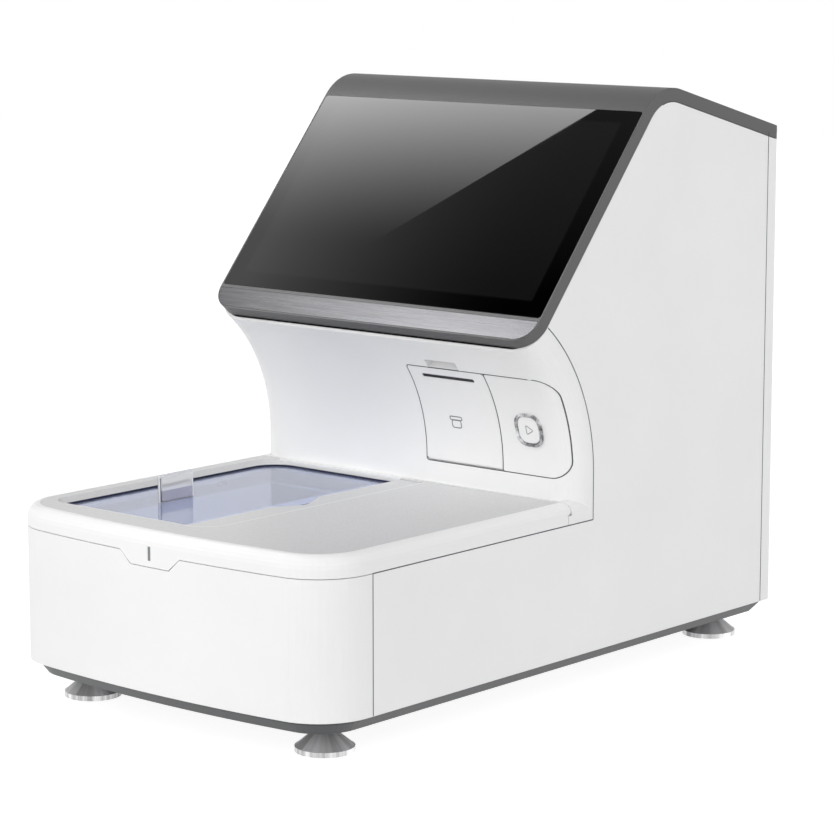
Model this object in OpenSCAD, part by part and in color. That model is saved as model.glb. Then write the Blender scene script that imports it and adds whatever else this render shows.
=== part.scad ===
// Benchtop chemiluminescence immunoassay analyzer: a low loading deck in front and a
// tall column with a sloped touch screen behind it, on four levelling feet.
// X runs to the right, Y to the back, Z up from the floor. All sizes in millimetres.
// Inside home(), Y counts from the front vertical seams and Z from the lower edge of the shell.

/* [Body] */
// Width over the two side panels
body_w = 384; // [364:1:420]
// Depth from the front seams to the rear face
body_back = 580; // [560:1:640]
// How far the bowed nose stands in front of the seams
nose = 67.5; // [66:0.5:76]
// Radius of the nose's shallow bow in plan
nose_bow_r = 1300; // [1000:10:2000]
// Radius of the nose's corners in plan
nose_corner_r = 52; // [45:1:56]
// Radius of the rear corners in plan
rear_corner_r = 9; // [6:0.5:14]
// Distance of the rear seams from the rear face
rear_seam_in = 20; // [16:1:26]
// Height of the lower shell, up to the parting line
shell_h = 118.65; // [110:0.05:128]
// Wall of the moulded covers
wall = 3; // [2.5:0.1:3.5]
// Gap between neighbouring covers
seam = 0.6; // [0.4:0.1:0.8]
// Running gap between pieces that move past each other
fit = 0.3; // [0.2:0.05:0.5]

/* [Tray and feet] */
// Height of the shell's lower edge above the floor
floor_gap = 38.6; // [35:0.1:46]
// Height of the dark base tray below the shell
tray_h = 14; // [11:0.5:15]
// How far the tray lies inside the shell
tray_in = 8; // [5:0.5:9]
// Height of the tray's upright lip
tray_lip = 5; // [3:0.5:7]
// How far the tray draws in below its lip
tray_taper = 7; // [4:0.5:8]
// How far the shell hangs over the tray
skirt = 1.5; // [0.5:0.1:2.5]
// Thickness of the tray's floor
tray_floor = 3; // [2:0.5:4]
// Width of the tray's rim
tray_rim = 17; // [14:0.5:20]
// Thickness of the steel chassis plates
steel = 3; // [2:0.5:3.5]
// Distance of each foot from the side
foot_in = 51.5; // [45:0.5:70]
// Place of the front feet behind the seams
foot_front = -3; // [-10:0.5:12]
// Distance of the rear feet from the rear face
foot_rear_in = 31.5; // [31:0.5:60]
// Radius of a foot's metal disc
foot_r = 25.5; // [20:0.5:30]
// Height of the metal disc
foot_rim_h = 4.5; // [3.5:0.5:6]
// Height of the cone on the disc
cone_h = 13; // [10:0.5:15]
// Radius of the neck above the cone
neck_r = 9.5; // [8:0.5:11]
// Thread diameter of a foot's stud
stud_d = 10; // [8:0.5:12]

/* [Deck lid] */
// Height of the lid from the parting line to the deck
deck_h = 19.35; // [18.5:0.05:22]
// Height of the upright band below the lid's bevel
deck_band = 8; // [6:0.5:9]
// Width of the lid's bevel in plan
deck_bevel = 10; // [8:0.5:12]
// White land between the bevel and the grey deck panel
deck_land = 1.5; // [1:0.1:2.5]
// Thickness of the deck panel
panel_t = 5; // [4.6:0.1:5.6]
// Radius of the rounded rear edge that the lid turns about
lid_nose_r = 5; // [4.5:0.1:5.5]
// Diameter of the lid's hinge pins
lid_pin_d = 3; // [2.5:0.1:3.5]
// Distance of each lid hinge from the side
lid_hinge_in = 28; // [27:0.5:34]
// Width of a fixed hinge knuckle
lid_knuckle_w = 16; // [12:0.5:20]
// Width of the pull tongue at the parting line
tongue_w = 72; // [60:1:84]
// How far the tongue hangs below the parting line
tongue_drop = 10.4; // [8:0.1:13]

/* [Window] */
// Distance of the window's left edge from the side
win_in = 32.5; // [31:0.5:36]
// Right edge of the tinted window
win_right = -2.5; // [-6:0.5:0]
// Front edge of the tinted window
win_front = -24.5; // [-26:0.5:-20]
// Rear edge of the tinted window
win_rear = 252.5; // [251:0.1:252.6]
// Radius of the window's left rear corner
win_r = 27; // [20:0.5:32]
// Thickness of the window sheet
win_t = 4; // [3.6:0.1:4.4]
// Depth of the window's top below the deck
win_sink = 5; // [4.5:0.1:5.5]
// Width of the flare on the recess's left and rear walls
win_flare = 9; // [4:0.5:10]
// Depth of the finger notch beside the window
notch_w = 16; // [10:0.5:18]
// Front end of the finger notch
notch_y = 83; // [70:1:100]
// Length of the finger notch
notch_l = 64; // [50:1:80]
// Drop of the strip beside the window below the deck
surround_drop = 1; // [0.5:0.1:1.4]
// Right edge of that strip
crease_x = 28; // [24:0.5:40]
// Corner radius of that strip
crease_r = 23; // [12:0.5:28]
// Right edge of the opening below the window
open_right = -24; // [-30:0.5:-22]
// Sideways place of the clear finger tab
tab_x = -105; // [-120:0.5:-70]
// Front end of the tab
tab_y = 48; // [20:0.5:70]
// Length of the tab
tab_l = 41; // [30:0.5:50]
// Height of the tab above the window
tab_h = 24.5; // [18:0.5:28]
// Thickness of the tab
tab_t = 3; // [2:0.5:5]
// Outer radius of the window hinge's knuckles
win_knuckle_r = 1.2; // [1.1:0.05:1.3]
// Diameter of the window hinge's pin
win_pin_d = 1.2; // [1:0.1:1.4]
// Length of the window hinge
win_hinge_l = 102; // [80:1:106]

/* [Column and screen] */
// Depth of the vertical seam beside the cove
cove_y = 295; // [285:1:305]
// Radius of the cove seam's arc
cove_r = 176; // [168:1:184]
// Radius of the column's rounded front edges
edge_r = 29; // [24:0.5:34]
// Height above the deck where the cove's arc starts
cove_rise = 22; // [18:0.5:26]
// Slope of the screen from level
slope = 49.5; // [47:0.1:52]
// Depth of the glass's top edge
glass_y = 365.6; // [360:0.1:372]
// Height of the glass's top edge
glass_z = 478.5; // [470:0.1:490]
// Height of the glass along the slope
glass_h = 227.3; // [222:0.1:232]
// Thickness of the glass
glass_t = 3; // [2:0.1:4]
// Grey border beside the glass and the strip
border = 1.8; // [1:0.1:3]
// Height of the brushed strip along the slope
strip_h = 23.7; // [20:0.1:26]
// Thickness of the brushed strip
strip_t = 1.5; // [1:0.1:2]
// Thickness of the grey hood
hood_t = 12; // [11:0.5:13]
// Radius of the bend between screen and roof
bend_r = 52; // [46:0.5:58]
// Fall of the roof to the rear in degrees
roof_fall = 14.67; // [12:0.01:17]
// In-plane radius of the hood's lower corners
hood_corner_r = 24; // [20:0.5:25]
// Width of the display behind the glass
display_w = 356; // [340:1:362]
// Height of the display behind the glass
display_h = 206; // [190:1:212]

/* [Printer and button] */
// Left edge of the printer door
door_left = 22.5; // [21:0.5:26]
// Seam between printer door and button panel
door_right = 112; // [106:0.5:118]
// Right edge of the button panel
panel_right = 184; // [180:0.5:186]
// Height of the door's lower edge above the deck
door_rise = 19.5; // [17:0.5:22]
// Height of door and button panel
door_h = 91; // [84:0.5:94]
// Corner radius of the button panel
panel_r = 16; // [10:0.5:20]
// Width of the paper slot
slot_w = 57; // [50:0.5:60]
// Height of the paper slot
slot_h = 4; // [3:0.5:4.5]
// Angle of the paper slot up the cove's arc
slot_at = 33; // [31:0.1:34]
// Diameter of the paper roll
roll_d = 46; // [36:1:50]
// Diameter of the spindle in the roll
spindle_d = 12; // [8:0.5:14]
// Diameter of the platen roller
platen_d = 8; // [6:0.5:9]
// Sideways place of the start button
button_x = 146.7; // [140:0.1:152]
// Angle of the start button up the cove's arc
button_at = 15.6; // [13:0.1:18]
// Width of the start button
button_w = 23; // [21:0.5:23.5]
// Width of the bright ring round the button
ring_w = 29.5; // [29:0.5:31]
// Travel of the start button
button_travel = 2.5; // [1.5:0.1:3]

/* [Mechanism] */
// Length of the strip tray
strip_tray_l = 200; // [160:1:204]
// Number of strip lanes
lanes = 8; // [4:1:10]
// Travel of the strip tray into the column
tray_travel = 280; // [200:5:290]
// Distance of each tray rail from the bay's middle
rail_x = 45; // [38:0.5:48]
// Width and height of a tray rail
rail_s = 10; // [8:0.5:12]
// Pitch radius of the belt pulleys
pulley_r = 8; // [6:0.5:9]
// Width of the drive belt
belt_w = 6; // [4:0.5:8]
// Side of the stepper motor
motor_s = 42; // [38:0.5:44]
// Travel of the pipette carriage
carriage_travel = 110; // [80:1:120]
// Travel of the pipette needle
needle_travel = 85; // [60:1:90]
// Side of the rear fan
fan_s = 80; // [60:1:92]

/* [Hidden] */
$fn = 64;

half_w = body_w / 2;
foot_x = half_w - foot_in;
foot_rear = body_back - foot_rear_in;
screw_head_h = 2.2;
y_mid = (body_back + screw_head_h - nose) / 2;
rear_seam = body_back - rear_seam_in;
pin_clear = 0.05;
big = 900;

// Plan outline: bow, nose corners and rear corners
bow_y = nose_bow_r - nose;
corner_x = half_w - nose_corner_r;
corner_y = bow_y - sqrt(pow(nose_bow_r - nose_corner_r, 2) - pow(corner_x, 2));
bow_half = asin(corner_x / (nose_bow_r - nose_corner_r));

// Deck and lid
shoulder_n = 5;
lid_hinge_x = half_w - lid_hinge_in;
deck_z = shell_h + deck_h;
lid_z0 = shell_h + seam;
panel_z = deck_z - panel_t;
lid_y = cove_y - edge_r - lid_nose_r - 2 * seam - 0.8;
lid_axis_z = deck_z - lid_nose_r;
plinth_y = lid_y + lid_nose_r + seam;
panel_in = deck_bevel + deck_land;
ledge_in = panel_in + 9;
ledge_t = 4;
deck_rear = lid_y - 3;
skin_t = 1;
lid_knuckle_r = lid_nose_r - skin_t - 2 * fit;
boss_w = 5;

// Window and its hinge
win_left = win_in - half_w;
notch_end = 6;
beam_in = 4;
sheet_z = deck_z - win_sink - win_t;
win_gap = 0.6;
pan_t = 3;
pan_w = 3;
pan_r = 11;
leaf_t = 0.8;
win_axis_y = win_rear + 2.25;
win_axis_z = sheet_z + win_t / 2;
win_hinge_x = (win_left + win_r + win_right) / 2 - 0.5;
knuckle_l = win_hinge_l / 5;

// Screen slope, bend and roof
slope_l = glass_h + strip_h;
driver_box = [180, 120, 12];
display_t = 8;
corner_out = 0.06;
slope_n = [-sin(slope), cos(slope)];
slope_low = [glass_y, glass_z] - slope_l * [cos(slope), sin(slope)];
bend_c = [glass_y, glass_z] - bend_r * slope_n;

// Cove: the arc's middle, the front face and its radius
cove_z = deck_z + cove_rise;
cove_c = [cove_y - cove_r, cove_z];
face_y = cove_y - edge_r;
face_r = cove_r - edge_r;

// Printer door hinge and bay
door_z = deck_z + door_rise;
door_nose_r = 2.7;
door_pin_d = 2.5;
door_corner_r = door_nose_r + seam / 2;
door_axis_y = face_y + door_nose_r;
door_axis_z = door_z + door_nose_r + seam / 2;
roll_y = face_y + 40;
roll_z = door_z + 34;
platen_at = 29;
platen_r_out = face_r + wall + 1 + platen_d / 2;
platen_c = cove_c + platen_r_out * [cos(platen_at), sin(platen_at)];
head_x = (door_left + door_right) / 2;
scoop_at = asin((door_z + door_h - cove_z) / face_r);
scoop_w = 36;
scoop_h = 10.5;
scoop_d = 9;
bay_left = win_left + 8.5;
bay_right = open_right + 3;
bay_front = win_front + 4.5;
bay_rear = win_rear - 12.5;
bay_mid = (bay_left + bay_right) / 2;
tub_z = shell_h - 3.65;

// Strip tray and its belt drive
runner_l = 40;
runner_wall = 8;
runner_in = 26;
rail_in = 22;
pulley_z = steel + motor_s / 2;
belt_t = 1.4;
tray_z = pulley_z + pulley_r + belt_t / 2 + 1.3;
tray_y = bay_front + 6;
drive_y = tray_y + strip_tray_l + tray_travel + motor_s / 2 + 8;
idler_y = tray_y + 44;
lane_h = 22;

// Pipettor, reader, pump, supply and rear fittings
reader_y = 440;
reader_l = 60;
reader_rise = 20;
reader_h = 70;
tube_d = 40;
tube_h = 60;
pump_at = [50, 60];
pump_s = [46, 50, 46];
supply_at = [20, 330];
supply_s = [100, 170, 52];
beam_y = 400;
beam_z = 250;
board_y = 376;
board_z = 290;
board_l = 150;
board_h = 125;
board_t = 1.6;
board_gap = 8;
frame_x = half_w - 22;
fan_x = -90;
fan_z = 330;
inlet_x = 110;
inlet_z = 55;
switch_x = inlet_x - 37;
switch_y = body_back - 8;
switch_r = 11;
switch_tilt = 8;

// Points along an arc
function arc(c, r, a0, a1, n = 12) =
    [for (i = [0:n]) let (a = a0 + (a1 - a0) * i / n) c + r * [cos(a), sin(a)]];

// Rounded rectangle about the origin, with its own radius at the lower corners
function rrect(w, h, r, r_low = -1) = let (q = r_low < 0 ? r : r_low) concat(
    arc([w / 2 - r, h / 2 - r], r, 0, 90, 8), arc([r - w / 2, h / 2 - r], r, 90, 180, 8),
    arc([q - w / 2, q - h / 2], q, 180, 270, 8), arc([w / 2 - q, q - h / 2], q, 270, 360, 8));

// Rectangle with its own radius at the front left, front right, rear right and rear left
function quad(x0, x1, y0, y1, r) = concat(
    arc([x0 + r[0], y0 + r[0]], r[0], 180, 270, 8), arc([x1 - r[1], y0 + r[1]], r[1], 270, 360, 8),
    arc([x1 - r[2], y1 - r[2]], r[2], 0, 90, 8), arc([x0 + r[3], y1 - r[3]], r[3], 90, 180, 8));

// Body outline in plan, drawn in by a distance
function plan(in = 0) = let (rr = max(rear_corner_r - in, 2)) concat(
    arc([-corner_x, corner_y], nose_corner_r - in, 180, 270 - bow_half),
    arc([0, bow_y], nose_bow_r - in, 270 - bow_half, 270 + bow_half, 16),
    arc([corner_x, corner_y], nose_corner_r - in, 270 + bow_half, 360),
    arc([half_w - in - rr, body_back - in - rr], rr, 0, 90, 8),
    arc([in + rr - half_w, body_back - in - rr], rr, 90, 180, 8));

// Slope, bend and roof in side view, sunk by a distance, back to depth y
function roof_z(sunk, y) = bend_c.y + (bend_r - sunk) / cos(roof_fall) - (y - bend_c.x) * tan(roof_fall);
function roof(sunk, y) = concat([slope_low - sunk * slope_n],
    arc(bend_c, bend_r - sunk, 90 + slope, 90 - roof_fall, 16), [[y, roof_z(sunk, y)]]);

// Front of the column in plan: flat face and rounded edges, drawn in by a distance
function column(in = 0) = concat(
    arc([edge_r - half_w, cove_y], edge_r - in, 180, 270),
    arc([half_w - edge_r, cove_y], edge_r - in, 270, 360));

module home() translate([0, -y_mid, floor_gap]) children();

// Extrudes a side-view outline (Y, Z) along X
module side(x0, x1) translate([x0, 0, 0]) rotate([90, 0, 90]) linear_extrude(x1 - x0) children();

// Slab of the body outline between two heights, in front of depth y1 and behind y0
module slab(in, z0, z1, y1 = big, y0 = -big) translate([0, 0, z0]) linear_extrude(z1 - z0) intersection() {
    polygon(plan(in));
    translate([-big, y0]) square([2 * big, y1 - y0]);
}

// Box between two corners
module block(a, b) translate(a) cube(b - a);

// Rod along X
module rod(d, x0, x1, y, z) translate([x0, y, z]) rotate([0, 90, 0]) cylinder(d = d, h = x1 - x0);

// Frame of the screen: X across, Y up the slope from the glass's top edge, Z outwards
module on_slope() translate([0, glass_y, glass_z]) rotate([slope, 0, 0]) children();

// Frame on the cove's face at an angle up its arc: Y into the column, Z up the arc
module on_cove(x, at) translate([x, cove_c.x, cove_c.y]) rotate([at, 0, 0])
    translate([0, face_r, 0]) children();

// Body of the deck with its band and rounded shoulder, up to the cove's seam
module deck_form() hull() {
    slab(0, shell_h, shell_h + deck_band, cove_y);
    for (i = [1:shoulder_n])
        let (a = 90 * i / shoulder_n, z = shell_h + deck_band + (deck_h - deck_band) * sin(a))
            slab(deck_bevel * (1 - cos(a)), z - 0.01, z, cove_y);
}

// Skin of the cove between two depths behind its face, up to the hood
module cove_skin(in0, in1) difference() {
    union() {
        translate([0, 0, shell_h]) linear_extrude(cove_z - shell_h) cove_section(in0, in1);
        translate([0, cove_c.x, cove_c.y]) rotate([90, 0, 90]) rotate_extrude(angle = 58, $fn = 120)
            translate([-cove_c.x, 0]) mirror([1, -1]) cove_section(in0, in1);
    }
    on_slope() translate([-big / 2, -big, -hood_t - seam / 2]) cube(big * [1, 2, 1]);
}

module cove_section(in0, in1) difference() {
    intersection() {
        polygon(column(in0));
        translate([-big, cove_y - seam / 2 - big]) square([2 * big, big]);
    }
    translate([0, 0.01]) polygon(column(in1));
}

// Outline of printer door and button panel in front view, drawn in by a gap
module cove_outline(x0, x1, r0, r1, gap = 0) translate([0, cove_y + 60, 0]) rotate([90, 0, 0])
    linear_extrude(200) translate([(x0 + x1) / 2, door_z + door_h / 2])
        polygon(concat(
            arc([(x1 - x0) / 2 - gap - r1, door_h / 2 - gap - r1], r1, 0, 90, 8),
            arc([(x0 - x1) / 2 + gap + r0, door_h / 2 - gap - r0], r0, 90, 180, 8),
            arc([(x0 - x1) / 2 + gap + r0, r0 + gap - door_h / 2], r0, 180, 270, 8),
            arc([(x1 - x0) / 2 - gap - r1, r1 + gap - door_h / 2], r1, 270, 360, 8)));

// Side wall outline below the hood and behind the cove, drawn in by a margin
module side_outline(m = 0) difference() {
    intersection() {
        polygon(concat(roof(hood_t + seam / 2 + m, rear_seam - seam / 2 - m),
            [[rear_seam - seam / 2 - m, 0], [slope_low.x, 0]]));
        translate([-big, m]) square(2 * big);
    }
    translate(cove_c) circle(cove_r + m, $fn = 180);
    translate([cove_y + m - big, -big]) square([big, big + cove_z]);
}

// Four places of the feet
module at_feet() for (x = [-foot_x, foot_x], y = [foot_front, foot_rear]) translate([x, y, 0]) children();

module base_tray() color("DimGray") home() {
    difference() {
        hull() {
            slab(tray_in + tray_taper, -tray_h, 0.01 - tray_h);
            slab(tray_in, -tray_lip, 0);
        }
        slab(wall + tray_rim, tray_floor - tray_h, 1);
        at_feet() translate([0, 0, -tray_h - 1]) cylinder(d = stud_d + 0.2, h = tray_h + 2);
        for (x = [-90:20:90]) block([x - 3, 200, -tray_h - 1], [x + 3, 320, 1 - tray_h + tray_floor]);
    }
    difference() {
        at_feet() translate([0, 0, tray_floor - tray_h]) cylinder(d = stud_d + 14, h = tray_h - tray_floor);
        at_feet() translate([0, 0, -tray_h]) cylinder(d = stud_d + 0.2, h = tray_h + 1);
    }
}

module chassis_frame() color("LightSteelBlue") home() {
    difference() {
        slab(wall + 13, 0, steel);
        at_feet() translate([0, 0, -1]) cylinder(d = 2.4 * stud_d, h = steel + 2);
    }
    difference() {
        for (s = [-1, 1]) translate([bay_mid + s * (belt_w / 2 + 5.5), idler_y, 0])
            block([-1.5, -6, 0], [1.5, 6, pulley_z + 5]);
        rod(5 + 2 * pin_clear, bay_mid - 40, bay_mid + 40, idler_y, pulley_z);
    }
    for (s = [-1, 1]) difference() {
        side(s * frame_x - steel / 2, s * frame_x + steel / 2) intersection() {
            side_outline(12);
            square([rear_seam - 20, big]);
        }
        block([-big, 340, 175], [big, 380, 235]);
        block([-big, 440, 175], [big, 500, 235]);
        block([-big, 340, 50], [big, 500, 65]);
    }
}

module front_cover() color("WhiteSmoke") home() difference() {
    union() {
        difference() {
            slab(0, -skirt, shell_h, -seam / 2);
            slab(wall, -skirt - 1, shell_h + 1);
        }
        difference() {
            slab(wall, 0, wall, -seam / 2);
            slab(wall + 12, -1, wall + 1);
        }
    }
    tongue(seam);
}

// Trapezoid of the pull tongue, grown by a gap
module tongue(gap) translate([0, 0, shell_h]) rotate([90, 0, 0]) linear_extrude(big) polygon([
    [-tongue_w / 2 - gap, 1], [tongue_w / 2 + gap, 1],
    [tongue_w / 2 + gap - 1.3 * tongue_drop, -tongue_drop - gap],
    [1.3 * tongue_drop - tongue_w / 2 - gap, -tongue_drop - gap]]);

// Flat side panel with a foot flange, on the right
module side_panel() color("WhiteSmoke") home() {
    side(half_w - wall, half_w) union() {
        side_outline();
        translate([seam / 2, -skirt]) square([rear_seam - seam, shell_h + skirt]);
    }
    block([half_w - wall - 12, seam / 2, 0], [half_w - wall, rear_seam - 20, wall]);
}

module right_side_panel() side_panel();
module left_side_panel() mirror([1, 0, 0]) side_panel();

module rear_panel() color("WhiteSmoke") home() difference() {
    intersection() {
        slab(0, -skirt, big, big, rear_seam + seam / 2);
        side(-big, big) polygon(concat(roof(hood_t + seam / 2, big), [[big, -skirt], [0, -skirt]]));
    }
    slab(wall, wall, big);
    slab(wall, -skirt - 1, 0);
    slab(wall + 12, -1, big);
    for (i = [-5:5]) let (h = sqrt(pow(fan_s / 2 - 5, 2) - pow(i * 6.4, 2)))
        block([fan_x + i * 6.4 - 2, rear_seam, fan_z - h], [fan_x + i * 6.4 + 2, big, fan_z + h]);
    for (i = [0:11]) block([20 + i * 11, rear_seam, 290], [25 + i * 11, big, 370]);
    block([inlet_x - 14, rear_seam, inlet_z - 12], [inlet_x + 14, big, inlet_z + 12]);
    block([switch_x - 11, rear_seam, inlet_z - 13.5], [switch_x + 11, big, inlet_z + 13.5]);
    block([-130, rear_seam, inlet_z - 9], [-70, big, inlet_z + 9]);
    at_rear_screws() translate([0, -1, 0]) rotate([-90, 0, 0]) cylinder(d = 4.2, h = big);
}

// Places of the screws that hold the rear panel, on its inner face
module at_rear_screws() for (x = [-frame_x + 8, frame_x - 8], z = [25, 150, 290])
    translate([x, body_back - wall, z]) children();

module column_cover() color("WhiteSmoke") home() difference() {
    union() {
        cove_skin(0, wall);
        difference() {
            intersection() {
                deck_form();
                block([-big, plinth_y, shell_h], [big, cove_y - seam / 2, big]);
            }
            block([wall + 7 - half_w, face_y + 4, 0], [half_w - wall - 7, big, big]);
        }
        intersection() {
            deck_form();
            block([-big, lid_y + seam, shell_h], [big, plinth_y + 1, lid_axis_z - lid_nose_r - seam]);
        }
        rod(2 * door_nose_r, door_left - 10, door_left, door_axis_y, door_axis_z);
        on_cove(head_x, scoop_at) translate([-scoop_w / 2 - 2, wall - 1, -0.8])
            cube([scoop_w + 4, scoop_d + 1, scoop_h + 3]);
        for (s = [-1, 1]) {
            rod(2 * lid_knuckle_r, s * lid_hinge_x - lid_knuckle_w / 2,
                s * lid_hinge_x + lid_knuckle_w / 2, lid_y, lid_axis_z);
            block([s * lid_hinge_x - lid_knuckle_w / 2, lid_y, lid_axis_z - 3],
                [s * lid_hinge_x + lid_knuckle_w / 2, plinth_y + 2, lid_axis_z + 1.2]);
        }
    }
    cove_outline(door_left, panel_right, door_corner_r, panel_r);
    for (s = [-1, 1]) rod(lid_pin_d, s * lid_hinge_x - lid_knuckle_w, s * lid_hinge_x + lid_knuckle_w,
        lid_y, lid_axis_z);
    rod(door_pin_d, door_left - 12, door_left + 1, door_axis_y, door_axis_z);
    on_cove(head_x, scoop_at) translate([-scoop_w / 2, -20, 0]) cube([scoop_w, 20 + scoop_d, scoop_h]);
}

module hood() color("DimGray") home() difference() {
    intersection() {
        side(-half_w, half_w) polygon(concat(roof(0, body_back), [for (i = [len(roof(0, 0)) - 1:-1:0])
            roof(hood_t, body_back)[i]]));
        slab(0, 0, big);
    }
    on_slope() {
        glass_plate(0.2, glass_t + 0.2, 1);
        strip_plate(0.2, strip_t + 0.1, 1);
        translate([0, -glass_h / 2, -hood_t - 1]) linear_extrude(hood_t)
            polygon(rrect(display_w + 2 * fit, display_h + 2 * fit, 2));
        for (s = [-1, 1])
            translate([s * (half_w - hood_corner_r + corner_out), hood_corner_r - corner_out - slope_l, 0])
                difference() {
                    translate([s > 0 ? 0 : -2 * hood_corner_r, -2 * hood_corner_r, -2 * hood_t])
                        cube([2 * hood_corner_r, 2 * hood_corner_r, 3 * hood_t]);
                    translate([0, 0, -2 * hood_t - 1]) cylinder(r = hood_corner_r, h = 3 * hood_t + 2);
                }
    }
}

// Glass in the screen's frame, grown by a gap, from a depth to a height
module glass_plate(gap, depth, rise) translate([0, -glass_h / 2, -depth]) linear_extrude(depth + rise)
    polygon(rrect(body_w - 2 * border + 2 * gap, glass_h - 2 * border + 2 * gap, 3));

// Brushed strip in the screen's frame, its lower corners following the hood's
module strip_plate(gap, depth, rise) translate([0, -glass_h - strip_h / 2, -depth])
    linear_extrude(depth + rise)
        polygon(rrect(body_w - 2 * border + 2 * gap, strip_h - 2 * border + 2 * gap, 1,
            min(hood_corner_r - border, strip_h - 2 * border - 1)));

module screen_glass() color([0.05, 0.05, 0.06]) home() on_slope() glass_plate(0, glass_t, 0);

module display_module() color("Black") home() on_slope() {
    translate([0, -glass_h / 2, -glass_t - 0.2 - display_t]) {
        linear_extrude(display_t) polygon(rrect(display_w, display_h, 2));
        translate([0, 0, -driver_box.z / 2]) cube(driver_box, center = true);
    }
}

module brushed_strip() color("Silver") home() on_slope() strip_plate(0, strip_t, 0);

module printer_door() color("WhiteSmoke") home() difference() {
    union() {
        intersection() {
            cove_skin(0, wall);
            cove_outline(door_left, door_right, door_corner_r - seam / 2, 3, seam / 2);
            block([-big, -big, door_axis_z], [big, big, big]);
        }
        rod(2 * door_nose_r, door_left + door_corner_r, door_right - seam / 2, door_axis_y, door_axis_z);
        translate([door_left + door_corner_r, door_axis_y, door_axis_z]) sphere(door_nose_r);
        for (x = [head_x - slot_w / 2 - 6, head_x + slot_w / 2 + 3])
            on_cove(x, platen_at) translate([0, wall - 0.5, -6]) cube([3, platen_d / 2 + 5, 12]);
    }
    rod(door_pin_d + 2 * pin_clear, door_left - 1, door_left + 9, door_axis_y, door_axis_z);
    rod(door_pin_d + 2 * pin_clear, door_right - 9, door_right + 1, door_axis_y, door_axis_z);
    on_cove(head_x, slot_at) paper_slot();
    on_cove(head_x, platen_at) translate([0, platen_r_out - face_r, 0])
        rod(3 + 2 * pin_clear, -big / 2, big / 2, 0, 0);
}

// Paper slot with round ends, through the door
module paper_slot() {
    translate([-slot_w / 2, -5, -slot_h / 2]) cube([slot_w, 12, slot_h]);
    for (s = [-1, 1]) translate([s * slot_w / 2, -5, 0]) rotate([-90, 0, 0]) cylinder(d = slot_h, h = 12);
}

module printer_door_pins() color("Silver") home() {
    rod(door_pin_d, door_left - 8, door_left + 8.5, door_axis_y, door_axis_z);
    rod(door_pin_d, door_right - 8.5, door_right + 8, door_axis_y, door_axis_z);
}

module printer_body() color("DarkSlateGray") home() {
    difference() {
        block([door_left + 4, face_y - 8, roll_z - roll_d / 2 - 5],
            [door_right - 4, roll_y + roll_d / 2 + 5, roll_z + roll_d / 2 + 30]);
        rod(2 * (face_r + wall + 0.5), 0, big, cove_c.x, cove_c.y);
        block([0, 0, 0], [big, face_y + wall + 0.5, cove_z]);
        rod(roll_d + 5, door_left + 8, door_right - 8, roll_y, roll_z);
        block([door_left + 8, face_y - 20, roll_z - 6], [door_right - 8, roll_y + roll_d / 2 + 2.5, big]);
        block([0, roll_y, roll_z + roll_d / 2 + 5], [big, big, big]);
    }
    rod(spindle_d, door_left + 6, door_right - 6, roll_y, roll_z);
}

module print_head() color("DimGray") home() {
    block([head_x - slot_w / 2 - 1, platen_c.x + platen_d / 2 + fit, platen_c.y - 7],
        [head_x + slot_w / 2 + 1, platen_c.x + platen_d / 2 + 16, platen_c.y + 8]);
    block([door_left + 8, platen_c.x + platen_d / 2 + 10, platen_c.y - 7],
        [door_right - 8, platen_c.x + platen_d / 2 + 16, platen_c.y + 8]);
}

module platen_roller() color("Black") home() on_cove(head_x, platen_at)
    translate([0, platen_r_out - face_r, 0]) {
        rod(platen_d, -slot_w / 2 - 1, slot_w / 2 + 1, 0, 0);
        rod(3, -slot_w / 2 - 6, slot_w / 2 + 6, 0, 0);
    }

module paper_roll() color("White") home() difference() {
    rod(roll_d, head_x - slot_w / 2 + 0.5, head_x + slot_w / 2 - 0.5, roll_y, roll_z);
    rod(spindle_d + 0.1, door_left, door_right, roll_y, roll_z);
}

module button_panel() color("WhiteSmoke") home() difference() {
    union() {
        intersection() {
            cove_skin(0, wall);
            cove_outline(door_right, panel_right, 3, panel_r, seam / 2);
        }
        rod(2 * door_nose_r, door_right + seam / 2, door_right + 12, door_axis_y, door_axis_z);
    }
    rod(door_pin_d, door_right - 1, door_right + 8, door_axis_y, door_axis_z);
    on_cove(button_x, button_at) button_prism(ring_w - 3, -9, 30);
}

// Soft square prism of the button, along the press
module button_prism(w, y0, y1) translate([0, y1, 0]) rotate([90, 0, 0]) linear_extrude(y1 - y0)
    polygon(rrect(w, w + 2, 0.36 * w));

module button_ring() color("Silver") home() on_cove(button_x, button_at) difference() {
    union() {
        intersection() {
            button_prism(ring_w, -2.2, 3);
            translate([0, -face_r, 0]) rod(2 * face_r - 0.1, -ring_w, ring_w, 0, 0, $fn = 360);
        }
        button_prism(ring_w - 3.6, -1, wall + 2);
    }
    button_prism(button_w + 2 * fit, -10, 30);
}

module start_button() color("WhiteSmoke") home() on_cove(button_x, button_at)
    button_prism(button_w, -1.6, wall + 4);

module button_switch() color("SeaGreen") home() on_cove(button_x, button_at) {
    translate([-16, wall + 9, -18]) cube([32, 1.6, 36]);
    translate([-6, wall + 4 + button_travel + fit, -6]) cube([12, 5 - button_travel - fit, 12]);
    for (x = [-15.9, 12.9], z = [-17, 14]) translate([x, wall - 0.5, z]) cube([3, 9.5, 3]);
}

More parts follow.
